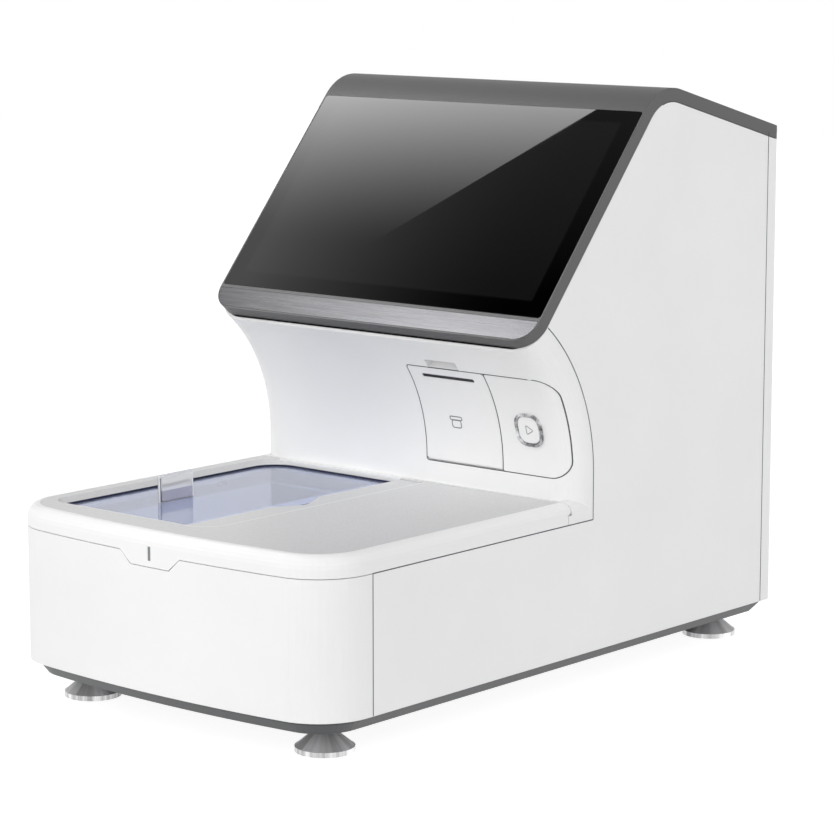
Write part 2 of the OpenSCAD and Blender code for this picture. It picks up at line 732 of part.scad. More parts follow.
module lid_rim() color("WhiteSmoke") home() difference() {
    union() {
        difference() {
            intersection() {
                deck_form();
                block([-big, -big, lid_z0], [big, lid_y, big]);
            }
            slab(wall + 1, 0, panel_z - ledge_t, deck_rear);
            slab(ledge_in, 0, panel_z + 1, deck_rear);
            slab(panel_in - 0.2, panel_z, big, deck_rear);
        }
        intersection() {
            deck_form();
            rod(2 * lid_nose_r, -half_w, half_w, lid_y, lid_axis_z);
            block([-big, deck_rear, 0], [big, big, big]);
        }
        lid_bosses(0);
        intersection() {
            difference() {
                slab(0, 0, lid_z0 + 1, 0);
                slab(wall + 0.5, -1, big);
            }
            tongue(0);
        }
    }
    rear_skin(0.2);
    lid_notches();
    for (s = [-1, 1]) rod(lid_pin_d + 2 * pin_clear, s * lid_hinge_x - lid_knuckle_w - 0.5,
        s * lid_hinge_x + lid_knuckle_w + 0.5, lid_y, lid_axis_z);
    light_bar(0.1);
}

// Grey skin over the lid's rear beam and its rounded edge beside the window, widened by a gap
module rear_skin(gap) difference() {
    union() {
        block([panel_in - gap - half_w, deck_rear - 1, deck_z - skin_t],
            [half_w - panel_in + gap, lid_y, deck_z + gap]);
        difference() {
            rod(2 * lid_nose_r + gap, panel_in - gap - half_w, half_w - panel_in + gap, lid_y, lid_axis_z);
            rod(2 * (lid_nose_r - skin_t), -half_w, half_w, lid_y, lid_axis_z);
            block([-big, -big, 0], [big, lid_y, big]);
            block([-big, 0, 0], [big, big, lid_axis_z]);
        }
    }
    block([win_left + beam_in + gap, deck_rear, 0], [win_right + win_gap - gap, big, big]);
}

// Bosses that carry the rear beam past the notches, grown by a gap
module lid_bosses(gap) for (s = [-1, 1]) translate([s * lid_hinge_x, deck_rear, panel_z])
    block([-lid_knuckle_w / 2 - boss_w - gap, -boss_w - gap, -ledge_t - big * sign(gap)],
        [lid_knuckle_w / 2 + boss_w + gap, 0, 0]);

// Notches for the fixed lid knuckles below the skin, and slots for their arms
module lid_notches() for (s = [-1, 1]) translate([s * lid_hinge_x, lid_y, 0]) {
    block([-lid_knuckle_w / 2 - fit, -lid_knuckle_r - fit, 0], [lid_knuckle_w / 2 + fit, big, lid_axis_z]);
    block([-lid_knuckle_w / 2 - fit, -lid_knuckle_r - fit, lid_axis_z - 1],
        [lid_knuckle_w / 2 + fit, 0, deck_z - skin_t]);
    rod(2 * (lid_nose_r - skin_t), -lid_knuckle_w / 2 - fit, lid_knuckle_w / 2 + fit, 0, lid_axis_z);
    block([-lid_knuckle_w / 2 - fit, 2.3, 0], [lid_knuckle_w / 2 + fit, big, big]);
}

// Upright light bar in the tongue, grown by a gap
module light_bar(gap) block([-1.5 - gap, -big, shell_h - 5 - gap],
    [1.5 + gap, 2 - nose, shell_h + deck_band - 1 + gap]);

module status_light() color("LightCyan") home() intersection() {
    light_bar(0);
    slab(0.2, 0, big);
}

module deck_panel() color("LightGray") home() difference() {
    union() {
        slab(panel_in, panel_z, deck_z, deck_rear - 0.2);
        translate([0, 0, sheet_z - fit - pan_t]) linear_extrude(panel_z - sheet_z + fit + pan_t) {
            polygon(quad(win_left - win_gap - pan_w, win_right + win_gap + pan_w, win_front - win_gap - pan_w,
                deck_rear - 0.2, [pan_r, 1, 0.01, 0.01]));
            translate([win_right, notch_y - pan_w]) square([notch_w + 2 * pan_w, notch_l + 2 * pan_w]);
        }
        rear_skin(0);
    }
    translate([0, 0, deck_z - surround_drop]) linear_extrude(big) polygon(quad(win_left - win_gap, crease_x,
        win_front - win_gap, deck_rear, [8, crease_r, 0.01, win_r + win_gap]));
    translate([0, 0, sheet_z - fit]) linear_extrude(big) {
        recess(0);
        polygon([[win_right, notch_y], [win_right + notch_w, notch_y + 0.4 * notch_l],
            [win_right + notch_w, notch_y + 0.4 * notch_l + notch_end], [win_right, notch_y + notch_l]]);
    }
    intersection() {
        hull() {
            translate([0, 0, panel_z]) linear_extrude(0.01) recess(0);
            translate([0, 0, deck_z]) linear_extrude(0.01) recess(win_flare);
        }
        block([-big, -big, 0], [big, deck_rear, big]);
    }
    block([win_left + 9.5, win_front + 7.5, 0], [open_right, bay_rear, sheet_z]);
    lid_notches();
    lid_bosses(0.2);
}

// Recess of the window, open to the lid's rear beam, flared at its left and rear
module recess(flare) polygon(quad(win_left - win_gap - flare, win_right + win_gap, win_front - win_gap,
    deck_rear + flare, [8 + win_gap + flare, 8 + win_gap, 0.01, win_r + win_gap + flare]));

// Outline of the window, grown by a gap
module window_outline(gap) polygon(quad(win_left - gap, win_right + gap, win_front - gap, win_rear + gap,
    [8 + gap, 8 + gap, 4 + gap, win_r + gap]));

module lid_hinge_pins() color("Silver") home() for (s = [-1, 1])
    rod(lid_pin_d, s * lid_hinge_x - lid_knuckle_w, s * lid_hinge_x + lid_knuckle_w, lid_y, lid_axis_z);

module lid_bumpers() color("Black") home() for (s = [-1, 1], y = [0, 200])
    translate([s * (half_w - panel_in - 4), y, tub_z]) cylinder(d = 8, h = panel_z - ledge_t - fit - tub_z);

module window_sheet() color([0.35, 0.42, 0.72, 0.6]) home()
    translate([0, 0, sheet_z]) linear_extrude(win_t) window_outline(0);

module window_tab() color([0.9, 0.93, 0.95, 0.6]) home()
    translate([tab_x - tab_t / 2, tab_y + tab_l / 2, sheet_z + win_t]) rotate([90, 0, 90])
        linear_extrude(tab_t) translate([0, tab_h / 2]) polygon(rrect(tab_l, tab_h, 2, 0.01));

// Window hinge: X places where its moving and its fixed knuckles start
function knuckles(first) = [for (i = [first:2:4]) win_hinge_x - win_hinge_l / 2 + i * knuckle_l];

module window_hinge_leaf() color("MidnightBlue") home() difference() {
    union() {
        block([win_hinge_x - win_hinge_l / 2, win_rear, sheet_z],
            [win_hinge_x + win_hinge_l / 2, win_rear + leaf_t, sheet_z + win_t]);
        for (x = knuckles(1)) {
            rod(2 * win_knuckle_r, x + fit, x + knuckle_l - fit, win_axis_y, win_axis_z);
            block([x + fit, win_rear, win_axis_z - 0.6], [x + knuckle_l - fit, win_axis_y, win_axis_z + 0.6]);
        }
    }
    rod(win_pin_d + 2 * pin_clear, win_left, win_right, win_axis_y, win_axis_z);
}

module window_hinge_base() color("MidnightBlue") home() {
    block([win_hinge_x - win_hinge_l / 2, win_axis_y - 0.75, sheet_z - fit],
        [win_hinge_x + win_hinge_l / 2, deck_rear - 0.2, sheet_z - fit + leaf_t]);
    for (x = knuckles(0)) {
        rod(2 * win_knuckle_r, x, x + knuckle_l, win_axis_y, win_axis_z);
        block([x, win_axis_y, sheet_z - fit], [x + knuckle_l, win_axis_y + win_knuckle_r - 0.2, win_axis_z]);
    }
    rod(win_pin_d, win_hinge_x - win_hinge_l / 2, win_hinge_x + win_hinge_l / 2, win_axis_y, win_axis_z);
}

module bay_tub() color("Gainsboro") home() difference() {
    union() {
        slab(wall + 1.5, tub_z - wall, tub_z, lid_y - 14);
        block([bay_left - wall, bay_front - wall, steel], [bay_right + wall, bay_rear + wall, tub_z]);
        for (p = [[half_w - 20, -20], [half_w - 20, 225], [40, 225], [40, -30]])
            translate([p.x, p.y, steel]) cylinder(d = 12, h = tub_z - wall - steel);
    }
    block([bay_left, bay_front, 0], [bay_right, bay_rear, big]);
    block([bay_left, bay_rear - 1, 0], [bay_right, bay_rear + wall + 1, tray_z + lane_h + 16]);
    at_feet() translate([0, 0, -1]) cylinder(d = stud_d + 24, h = steel + 14);
}

module strip_tray() color("SlateGray") home() {
    block([bay_left + 4, tray_y, tray_z], [bay_right - 4, tray_y + strip_tray_l, tray_z + 6]);
    for (i = [0:lanes]) let (x = bay_left + 4 + (bay_right - bay_left - 12) * i / lanes)
        block([x, tray_y, tray_z + 6], [x + 4, tray_y + strip_tray_l, tray_z + 6 + lane_h]);
    block([bay_left + 4, tray_y + strip_tray_l - 4, tray_z + 6],
        [bay_right - 4, tray_y + strip_tray_l, tray_z + 6 + lane_h / 2]);
    block([bay_mid - belt_w / 2 - 4, tray_y + strip_tray_l / 2 - 10, pulley_z + pulley_r + belt_t / 2 + fit],
        [bay_mid + belt_w / 2 + 4, tray_y + strip_tray_l / 2 + 10, tray_z]);
}

// Runner blocks that straddle the rails below the tray
module tray_runners() color("Silver") home()
    for (s = [-1, 1], y = [runner_in, strip_tray_l - runner_l - runner_in])
        translate([bay_mid + s * rail_x, tray_y + y, 0]) difference() {
            block([-rail_s / 2 - runner_wall, 0, steel + 1], [rail_s / 2 + runner_wall, runner_l, tray_z]);
            block([-rail_s / 2 - fit, -1, 0], [rail_s / 2 + fit, runner_l + 1, steel + rail_s + fit]);
        }

module tray_rails() color("Silver") home() for (s = [-1, 1])
    translate([bay_mid + s * rail_x - rail_s / 2, tray_y + rail_in, steel])
        cube([rail_s, strip_tray_l + tray_travel - rail_in - 2, rail_s]);

module tray_motor() color("DimGray") home() difference() {
    union() {
        block([bay_mid + belt_w / 2 + 6, drive_y - motor_s / 2, steel],
            [bay_mid + belt_w / 2 + 46, drive_y + motor_s / 2, steel + motor_s]);
        rod(18, bay_mid + belt_w / 2 + 4, bay_mid + belt_w / 2 + 7, drive_y, pulley_z);
    }
    rod(5.2, bay_mid, bay_mid + belt_w / 2 + 30, drive_y, pulley_z);
}

// Flanged pulley with its shaft between two X places
module pulley(y, x0, x1) {
    rod(2 * pulley_r - belt_t - 0.3, bay_mid - belt_w / 2 - 1.5, bay_mid + belt_w / 2 + 1.5, y, pulley_z);
    for (x = [bay_mid - belt_w / 2 - 1.5, bay_mid + belt_w / 2 + 0.5])
        rod(2 * pulley_r + belt_t, x, x + 1, y, pulley_z);
    rod(5, x0, x1, y, pulley_z);
}

module drive_pulley() color("Silver") home()
    pulley(drive_y, bay_mid - belt_w / 2 - 4, bay_mid + belt_w / 2 + 20);
module idler_pulley() color("Silver") home()
    pulley(idler_y, bay_mid - belt_w / 2 - 7, bay_mid + belt_w / 2 + 7);

module drive_belt() color("Black") home() translate([bay_mid - belt_w / 2 + 0.5, 0, 0]) rotate([90, 0, 90])
    linear_extrude(belt_w - 1) difference() {
        belt_loop(pulley_r + belt_t / 2);
        belt_loop(pulley_r - belt_t / 2);
    }

module belt_loop(r) {
    for (y = [idler_y, drive_y]) translate([y, pulley_z]) circle(r);
    translate([idler_y, pulley_z - r]) square([drive_y - idler_y, 2 * r]);
}

module gantry_beam() color("Silver") home() difference() {
    block([steel / 2 - frame_x, beam_y, beam_z], [frame_x - steel / 2, beam_y + 20, beam_z + 30]);
    block([-big, beam_y + 8, beam_z + 8], [big, big, beam_z + 22]);
}

module pipette_carriage() color("DimGray") home() difference() {
    union() {
        block([bay_left + 6, beam_y - 24, beam_z - 10], [bay_left + 46, beam_y - fit, beam_z + 40]);
        block([bay_left + 6, beam_y - 24, beam_z + 30 + fit], [bay_left + 46, beam_y + 20, beam_z + 40]);
    }
    block([bay_left + 18 - fit, beam_y - 25, beam_z - 11], [bay_left + 34 + fit, beam_y - 12, beam_z + 41]);
}

module pipette_needle() color("Silver") home() {
    block([bay_left + 18, beam_y - 30, beam_z - 20], [bay_left + 34, beam_y - 12 - fit, beam_z + 100]);
    translate([bay_left + 26, beam_y - 22, beam_z - 80]) cylinder(d = 3, h = 61);
}

module reader_module() color([0.15, 0.15, 0.17]) home() {
    translate([0, reader_y, tray_z + lane_h + reader_rise]) {
        block([steel / 2 - frame_x, 0, 0], [bay_right, reader_l, reader_h]);
        translate([bay_mid, reader_l / 2, reader_h]) cylinder(d = tube_d, h = tube_h);
    }
}

module wash_pump() color("SteelBlue") home() translate([pump_at.x, pump_at.y, steel]) {
    cube(pump_s);
    translate([pump_s.x / 2, pump_s.y, pump_s.z / 2]) rotate([-90, 0, 0])
        cylinder(d = pump_s.z - 6, h = 1.2 * pump_s.y);
    for (x = [10, pump_s.x - 10]) translate([x, pump_s.y / 2, pump_s.z]) cylinder(d = 8, h = 14);
}

module power_supply() color("Silver") home() translate([supply_at.x, supply_at.y, steel]) difference() {
    cube(supply_s);
    for (i = [0:9]) translate([0.1 * supply_s.x + i * 8.5, 20, supply_s.z - 2])
        cube([4, supply_s.y - 40, 3]);
}

module main_board() color("SeaGreen") home() translate([frame_x - steel / 2 - board_gap, board_y, board_z]) {
    block([-board_t, 0, 0], [0, board_l, board_h]);
    for (y = [6, board_l - 10], z = [6, board_h - 10]) rod(6, 0, board_gap, y, z);
    block([-8, 40, 50], [-board_t, 80, 90]);
    for (z = [12, 36, 96]) block([-13, 12, z], [-board_t, 28, z + 18]);
}

// Frame of the rear fan: X across, Z up, Y to the rear
module at_fan() translate([fan_x, body_back - wall - 25, fan_z]) children();

module fan_frame() color([0.12, 0.12, 0.12]) home() at_fan() difference() {
    translate([-fan_s / 2, 0, -fan_s / 2]) cube([fan_s, 25, fan_s]);
    difference() {
        translate([0, -1, 0]) rotate([-90, 0, 0]) cylinder(d = fan_s - 4, h = 27);
        translate([0, 21, 0]) rotate([-90, 0, 0]) cylinder(d = 36, h = 5);
        for (a = [0, 60, 120]) rotate([0, a, 0]) translate([-fan_s / 2, 22, -2]) cube([fan_s, 3, 4]);
    }
    translate([0, 10, 0]) rotate([-90, 0, 0]) cylinder(d = 6.2, h = 16);
}

module fan_rotor() color([0.2, 0.2, 0.2]) home() at_fan() {
    translate([0, 3, 0]) rotate([-90, 0, 0]) cylinder(d = 34, h = 17.5);
    translate([0, 20, 0]) rotate([-90, 0, 0]) cylinder(d = 6, h = 4);
    intersection() {
        for (a = [0:360 / 7:359]) rotate([0, a, 0]) translate([15, 12, 0]) rotate([-40, 0, 0])
            translate([0, -1, -11]) cube([fan_s / 2 - 20, 2, 22]);
        translate([0, 3, 0]) rotate([-90, 0, 0]) cylinder(d = fan_s - 7, h = 17);
    }
}

// Power entry: mains inlet and switch housing behind one flange
module power_inlet() color([0.12, 0.12, 0.12]) home() {
    difference() {
        union() {
            block([inlet_x - 13.7, body_back - wall - 20, inlet_z - 11.7],
                [inlet_x + 13.7, body_back, inlet_z + 11.7]);
            block([switch_x - 10.7, switch_y - 16, inlet_z - 13.2],
                [switch_x + 10.7, body_back, inlet_z + 13.2]);
            block([switch_x - 14, body_back, inlet_z - 15], [inlet_x + 17, body_back + 2, inlet_z + 15]);
        }
        block([inlet_x - 12, body_back - wall - 16, inlet_z - 8], [inlet_x + 12, big, inlet_z + 8]);
        block([switch_x - 8.3, switch_y - switch_r - 0.6, inlet_z - switch_r - 0.6],
            [switch_x + 8.3, big, inlet_z + switch_r + 0.6]);
    }
    for (x = [-6, 0, 6]) block([inlet_x + x - 1, body_back - wall - 16, inlet_z - 2],
        [inlet_x + x + 1, body_back - 4, inlet_z + 2]);
    rod(3, switch_x - 10, switch_x + 10, switch_y, inlet_z);
}

// Rocker with a shallow V face, lying in its off position
module power_switch() color([0.1, 0.1, 0.1]) home()
    translate([switch_x, switch_y, inlet_z]) rotate([switch_tilt, 0, 0]) difference() {
        rod(2 * switch_r, -8, 8, 0, 0);
        side(-9, 9) polygon([[6.5, 0], [6.5 + switch_r * tan(switch_tilt), switch_r], [big, switch_r],
            [big, -switch_r], [6.5 + switch_r * tan(switch_tilt), -switch_r]]);
        rod(3 + 2 * pin_clear, -9, 9, 0, 0);
    }

module data_ports() color("Silver") home() difference() {
    block([-129.7, body_back - wall - 18, inlet_z - 8.7], [-70.3, body_back, inlet_z + 8.7]);
    for (x = [-127, -107]) block([x, body_back - 12, inlet_z - 3], [x + 14, big, inlet_z + 4]);
    block([-88, body_back - 12, inlet_z - 7], [-72.5, big, inlet_z + 6]);
}

// Metal disc and stud of a levelling foot
module foot(x, y) color("Silver") home() translate([x, y, -floor_gap]) {
    cylinder(r = foot_r, h = foot_rim_h);
    cylinder(d = stud_d, h = floor_gap + 6);
}

module foot_front_left() foot(-foot_x, foot_front);
module foot_front_right() foot(foot_x, foot_front);
module foot_rear_left() foot(-foot_x, foot_rear);
module foot_rear_right() foot(foot_x, foot_rear);

// Dark cone of a levelling foot, on its disc, with a neck up to the tray
module cone(x, y) color("DimGray") home() translate([x, y, foot_rim_h - floor_gap]) difference() {
    union() {
        cylinder(r1 = foot_r - 0.5, r2 = neck_r, h = cone_h);
        cylinder(r = neck_r, h = floor_gap - tray_h - foot_rim_h - fit);
    }
    translate([0, 0, -1]) cylinder(d = stud_d, h = floor_gap);
}

module cone_front_left() cone(-foot_x, foot_front);
module cone_front_right() cone(foot_x, foot_front);
module cone_rear_left() cone(-foot_x, foot_rear);
module cone_rear_right() cone(foot_x, foot_rear);

module foot_locknuts() color("Silver") home() at_feet() difference() {
    cylinder(d = 1.9 * stud_d, h = 5, $fn = 6);
    translate([0, 0, -1]) cylinder(d = stud_d + 0.2, h = 7);
}

module rear_screws() color("Silver") home() at_rear_screws() {
    translate([0, wall, 0]) rotate([-90, 0, 0]) cylinder(d = 7.5, h = screw_head_h);
    translate([0, -8, 0]) rotate([-90, 0, 0]) cylinder(d = 4, h = 8 + wall + 1);
}

base_tray();
chassis_frame();
front_cover();
right_side_panel();
left_side_panel();
rear_panel();
column_cover();
hood();
screen_glass();
display_module();
brushed_strip();
printer_door();
printer_door_pins();
printer_body();
print_head();
platen_roller();
paper_roll();
button_panel();
button_ring();
start_button();
button_switch();
lid_rim();
deck_panel();
lid_hinge_pins();
lid_bumpers();
status_light();
window_sheet();
window_tab();
window_hinge_leaf();
window_hinge_base();
bay_tub();
strip_tray();
tray_runners();
tray_rails();
tray_motor();
drive_pulley();
idler_pulley();
drive_belt();
gantry_beam();
pipette_carriage();
pipette_needle();
reader_module();
wash_pump();
power_supply();
main_board();
fan_frame();
fan_rotor();
power_inlet();
power_switch();
data_ports();
foot_front_left();
foot_front_right();
foot_rear_left();
foot_rear_right();
cone_front_left();
cone_front_right();
cone_rear_left();
cone_rear_right();
foot_locknuts();
rear_screws();
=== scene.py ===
# %% [markdown]
# # A benchtop immunoassay analyser
# The machine is a white moulded body on four levelling feet, with a silver deck, a tinted window and a
# sloping black screen. The solids already have their true shapes and places, so this lesson adds what the
# eye reads first: the finish of each surface, the light, and the fine pieces too thin for the solids.

import bmesh
import bpy
import numpy as np
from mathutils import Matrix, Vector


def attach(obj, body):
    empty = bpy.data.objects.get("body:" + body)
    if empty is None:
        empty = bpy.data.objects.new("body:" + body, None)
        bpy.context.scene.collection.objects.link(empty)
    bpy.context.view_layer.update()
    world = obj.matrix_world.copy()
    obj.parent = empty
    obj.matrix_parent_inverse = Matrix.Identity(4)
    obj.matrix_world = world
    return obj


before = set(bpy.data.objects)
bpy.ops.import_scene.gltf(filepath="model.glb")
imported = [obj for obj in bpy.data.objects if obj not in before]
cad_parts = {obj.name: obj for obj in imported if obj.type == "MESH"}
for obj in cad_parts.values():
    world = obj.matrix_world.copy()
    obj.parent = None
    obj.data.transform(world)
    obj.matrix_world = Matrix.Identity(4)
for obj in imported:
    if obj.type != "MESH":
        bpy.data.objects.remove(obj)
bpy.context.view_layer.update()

# %% [markdown]
# ## Driving sizes
# A few lengths of the real machine place everything else. They are in millimetres in the body's own frame,
# whose origin lies midway between the lower ends of the two front seams. `place` turns them into metres of
# the scene, and the other functions go from the coordinates of one surface to the scene.

# %% Driving sizes and the way into the scene's frame
MM = 0.001
Y_MID, FLOOR_GAP = 257.35, 38.6
SLOPE, GLASS_Y, GLASS_Z = np.radians(49.5), 365.6, 478.5
COVE_Y, COVE_Z, FACE_R, ROUND_R = 119.0, 160.0, 147.0, 29.0
HALF_W, DECK_Z = 192.0, 138.0


def place(x, y, z):
    """Body frame in millimetres to scene in metres: shift back by Y_MID and up by FLOOR_GAP, then scale."""
    x, y, z = np.broadcast_arrays(x, y, z)
    return np.stack([x, y - Y_MID, z + FLOOR_GAP], axis=-1) * MM


def on_slope(x, up, out=0.0):
    """Point on the screen: x across, up along the slope from the glass's top edge, out along its normal."""
    return place(x, GLASS_Y + up * np.cos(SLOPE) - out * np.sin(SLOPE),
                 GLASS_Z + up * np.sin(SLOPE) + out * np.cos(SLOPE))


def on_cove(x, z, out=0.0):
    """Point on the column's front at height z: a wall up to COVE_Z, and above it a cylinder about
    (COVE_Y, COVE_Z), whose radius FACE_R grows by R - sqrt(R^2 - d^2) over the last R = ROUND_R."""
    past = np.clip(np.abs(x) - (HALF_W - ROUND_R), 0, ROUND_R)
    radius = FACE_R + ROUND_R - np.sqrt(ROUND_R ** 2 - past ** 2)
    sine = np.clip((z - COVE_Z) / radius, 0, 1)
    reach = radius - out
    return place(x, COVE_Y + reach * np.sqrt(1 - sine ** 2), np.minimum(z, COVE_Z) + reach * sine)


def on_right(y, z, out=0.0):
    """Point on the right side wall, out millimetres in front of it."""
    return place(HALF_W + out, y, z)


def on_left(y, z, out=0.0):
    """Point on the left side wall, mirrored from the right one."""
    return place(-HALF_W - out, y, z)


# %% [markdown]
# ## Camera
# The photograph was taken with a long lens from the front right, a little above the screen's lower edge.
# Its place and lens were solved from the straight edges of the body, so the render has the same perspective.

# %% Camera
SENSOR_W, LENS_MM = 36.0, 130.4
CAMERA_AT, CAMERA_TURN = (1.795, -2.0614, 0.6889), (80.55, 0.0, 40.769)
lens = bpy.data.cameras.new("studio_lens")
lens.sensor_width, lens.lens = SENSOR_W, LENS_MM
camera = bpy.data.objects.new("studio_camera", lens)
camera.location = CAMERA_AT
camera.rotation_euler = np.radians(CAMERA_TURN)
bpy.context.scene.collection.objects.link(camera)
bpy.context.scene.camera = camera
bpy.context.scene.view_settings.view_transform = "Standard"
print("camera:", LENS_MM, "mm lens at", CAMERA_AT)

# %% [markdown]
# ## Nodes and surfaces
# A few small functions serve the whole script. `add` makes a shader node with its settings and links.
# `grid_mesh` turns a grid of points into a mesh: a shape is a function of two parameters, worked out as one
# array. `piece` makes an object of the mesh and lets it ride on a body of the machine.


# %% Helpers for shader nodes and grids
def linear(code):
    """sRGB hex to linear colour: below 0.04045 divide by 12.92, above it raise to the power 2.4."""
    c = np.array([int(code[i:i + 2], 16) for i in (1, 3, 5)]) / 255
    return (*np.where(c <= 0.04045, c / 12.92, ((c + 0.055) / 1.055) ** 2.4), 1.0)


def add(tree, kind, inputs=None, **settings):
    """Adds a node: settings are its own properties, inputs maps a socket to a value or to a node's output."""
    node = tree.nodes.new("ShaderNode" + kind)
    for key, value in settings.items():
        setattr(node, key, value)
    for key, value in (inputs or {}).items():
        if isinstance(value, bpy.types.NodeSocket):
            tree.links.new(value, node.inputs[key])
        else:
            node.inputs[key].default_value = value
    return node


def material(name):
    """An empty material and its tree, with Object coordinates ready."""
    made = bpy.data.materials.new(name)
    made.use_nodes = True
    made.node_tree.nodes.clear()
    print("material:", name)
    return made, made.node_tree, add(made.node_tree, "TexCoord").outputs["Object"]


def show(tree, shader):
    """Links a shader to the material's output."""
    add(tree, "OutputMaterial", {"Surface": shader.outputs[0]})


def grid_mesh(name, points, closed_u=False, closed_v=False):
    """Mesh of a grid of points (rows u, columns v), one quad per cell, joined round where closed. A tube
    that is closed across but not along gets its two end rows as caps."""
    rows, columns = points.shape[:2]
    u = np.arange(rows if closed_u else rows - 1)[:, None]
    v = np.arange(columns if closed_v else columns - 1)[None, :]
    u1, v1 = (u + 1) % rows, (v + 1) % columns
    quads = np.stack([u * columns + v, u1 * columns + v, u1 * columns + v1, u * columns + v1], axis=-1)
    ends = [list(range(columns)), list(range((rows - 1) * columns, rows * columns))]
    caps = ends if closed_v and not closed_u else []
    mesh = bpy.data.meshes.new(name)
    mesh.from_pydata(points.reshape(-1, 3).tolist(), [], quads.reshape(-1, 4).tolist() + caps)
    shell = bmesh.new()
    shell.from_mesh(mesh)
    bmesh.ops.recalc_face_normals(shell, faces=shell.faces)
    shell.to_mesh(mesh)
    shell.free()
    return mesh


def piece(mesh, finish, body=None):
    """Object for a mesh with its material, riding on a body of the machine."""
    made = bpy.data.objects.new(mesh.name, mesh)
    bpy.context.scene.collection.objects.link(made)
    mesh.materials.append(finish)
    if body:
        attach(made, body)
    print("piece:", mesh.name, "with", len(mesh.vertices), "points, on", body or "the stage")
    return made


# %% [markdown]
# ## Studio
# The picture has a pure white surround and soft light that comes level, from all sides, more than from above.
# The world lights the machine and shows white to the camera, to gloss and to glass. A dark cloth over the
# machine holds back the light from the top. The floor adds a glow for the seen rays, and keeps a faint share
# of its own shading, so the contact shadow of the feet stays.


# %% World, floor and lamps
def seen_rays(tree):
    """One for rays from the camera, from gloss and through glass, zero for rays that carry light."""
    path = add(tree, "LightPath")
    some = path.outputs["Is Camera Ray"]
    for kind in ("Is Glossy Ray", "Is Transmission Ray"):
        some = add(tree, "Math", {0: some, 1: path.outputs[kind]}, operation="MAXIMUM").outputs[0]
    return some


WHITE = (1.0, 1.0, 1.0, 1.0)
WORLD_LIGHT, WORLD_SEEN, FLOOR_GLOW = 1.0, 1.0, 0.9
world = bpy.data.worlds.new("white_studio")
bpy.context.scene.world = world
world.use_nodes = True
tree = world.node_tree
tree.nodes.clear()
lit = add(tree, "Background", {"Color": WHITE, "Strength": WORLD_LIGHT})
seen = add(tree, "Background", {"Color": WHITE, "Strength": WORLD_SEEN})
mixed = add(tree, "MixShader", {0: seen_rays(tree), 1: lit.outputs[0], 2: seen.outputs[0]})
add(tree, "OutputWorld", {"Surface": mixed.outputs[0]})

paper, tree, _ = material("white_backdrop_paper")
bounce = add(tree, "BsdfDiffuse", {"Color": linear("#F8F8F8")})
faint = add(tree, "BsdfDiffuse", {"Color": linear("#A0A0A0")})
glow = add(tree, "Emission", {"Color": WHITE, "Strength": FLOOR_GLOW})
both = add(tree, "AddShader", {0: faint.outputs[0], 1: glow.outputs[0]})
show(tree, add(tree, "MixShader", {0: seen_rays(tree), 1: bounce.outputs[0], 2: both.outputs[0]}))
FLOOR_HALF = 6.0
side = np.linspace(-FLOOR_HALF, FLOOR_HALF, 3)
corners = np.stack([*np.meshgrid(side, side, indexing="ij"), np.zeros((3, 3))], axis=-1)
piece(grid_mesh("backdrop_floor", corners), paper)

CLOTH_HALF, CLOTH_Z = 1.7, 2.1
black_cloth, tree, _ = material("black_cloth_overhead")
show(tree, add(tree, "BsdfDiffuse", {"Color": linear("#202020")}))
cloth = piece(grid_mesh("overhead_cloth", corners * CLOTH_HALF / FLOOR_HALF + [0, 0, CLOTH_Z]), black_cloth)
cloth.visible_camera = cloth.visible_glossy = cloth.visible_transmission = False


def softbox(name, at, aim, size, watts, spread=180.0):
    """Square area lamp at a place, turned to look at a point, its light kept in a cone of spread degrees."""
    lamp = bpy.data.lights.new(name, "AREA")
    lamp.size, lamp.energy, lamp.spread = size, watts, np.radians(spread)
    made = bpy.data.objects.new(name, lamp)
    made.location = at
    made.rotation_euler = (Vector(aim) - Vector(at)).to_track_quat("-Z", "Y").to_euler()
    made.visible_camera = made.visible_glossy = False
    bpy.context.scene.collection.objects.link(made)
    print("lamp:", name, watts, "W")


BODY_MID, DECK_MID, KEY_SIZE, FILL_SIZE = (0, 0, 0.2), (0, -0.14, 0.18), 2.0, 0.5
softbox("key_from_front", (0.3, -3.4, 0.8), BODY_MID, KEY_SIZE, watts=20.0)
softbox("key_from_right", (3.4, 0.2, 0.8), BODY_MID, KEY_SIZE, watts=10.0)
softbox("fill_over_deck", (-0.05, -0.48, 0.9), DECK_MID, FILL_SIZE, watts=0.42, spread=55.0)

# %% [markdown]
# ## Reflection in the screen
# Black glass shows only what it mirrors. In the photograph a bright card with a slanting edge stands in its
# mirror, fading downwards, and the rest of the mirror is dark. Seen from the lens, the card's outline is
# the wanted outline on the glass, pushed away from the lens's mirror image by a factor. Only gloss sees the
# cards.

# %% Cards in the screen's mirror
CARD_FAR, CARD_ROWS, CARD_COLUMNS = 1.35, 91, 24
CARD_TOP, CARD_LOW, CARD_LEFT, CARD_RIGHT = 30.0, -420.0, -260.0, 260.0
EDGE_X, EDGE_LEAN = 140.0, 1.08
CARD_GLOW, CARD_END, CARD_FADE = 9.5, -175.0, 1.9
SHEEN_LEFT, SHEEN_W, SHEEN_FADE = 1.88, 330.0, 2.2
SHEEN_TOP, SHEEN_END = 0.3, -200.0
STRIP_TOP, STRIP_RISE = -226.0, 11.0
normal = np.array([0.0, -np.sin(SLOPE), np.cos(SLOPE)])
eye = np.array(camera.location)
mirror_eye = eye - 2 * ((eye - on_slope(0.0, 0.0)) @ normal) * normal


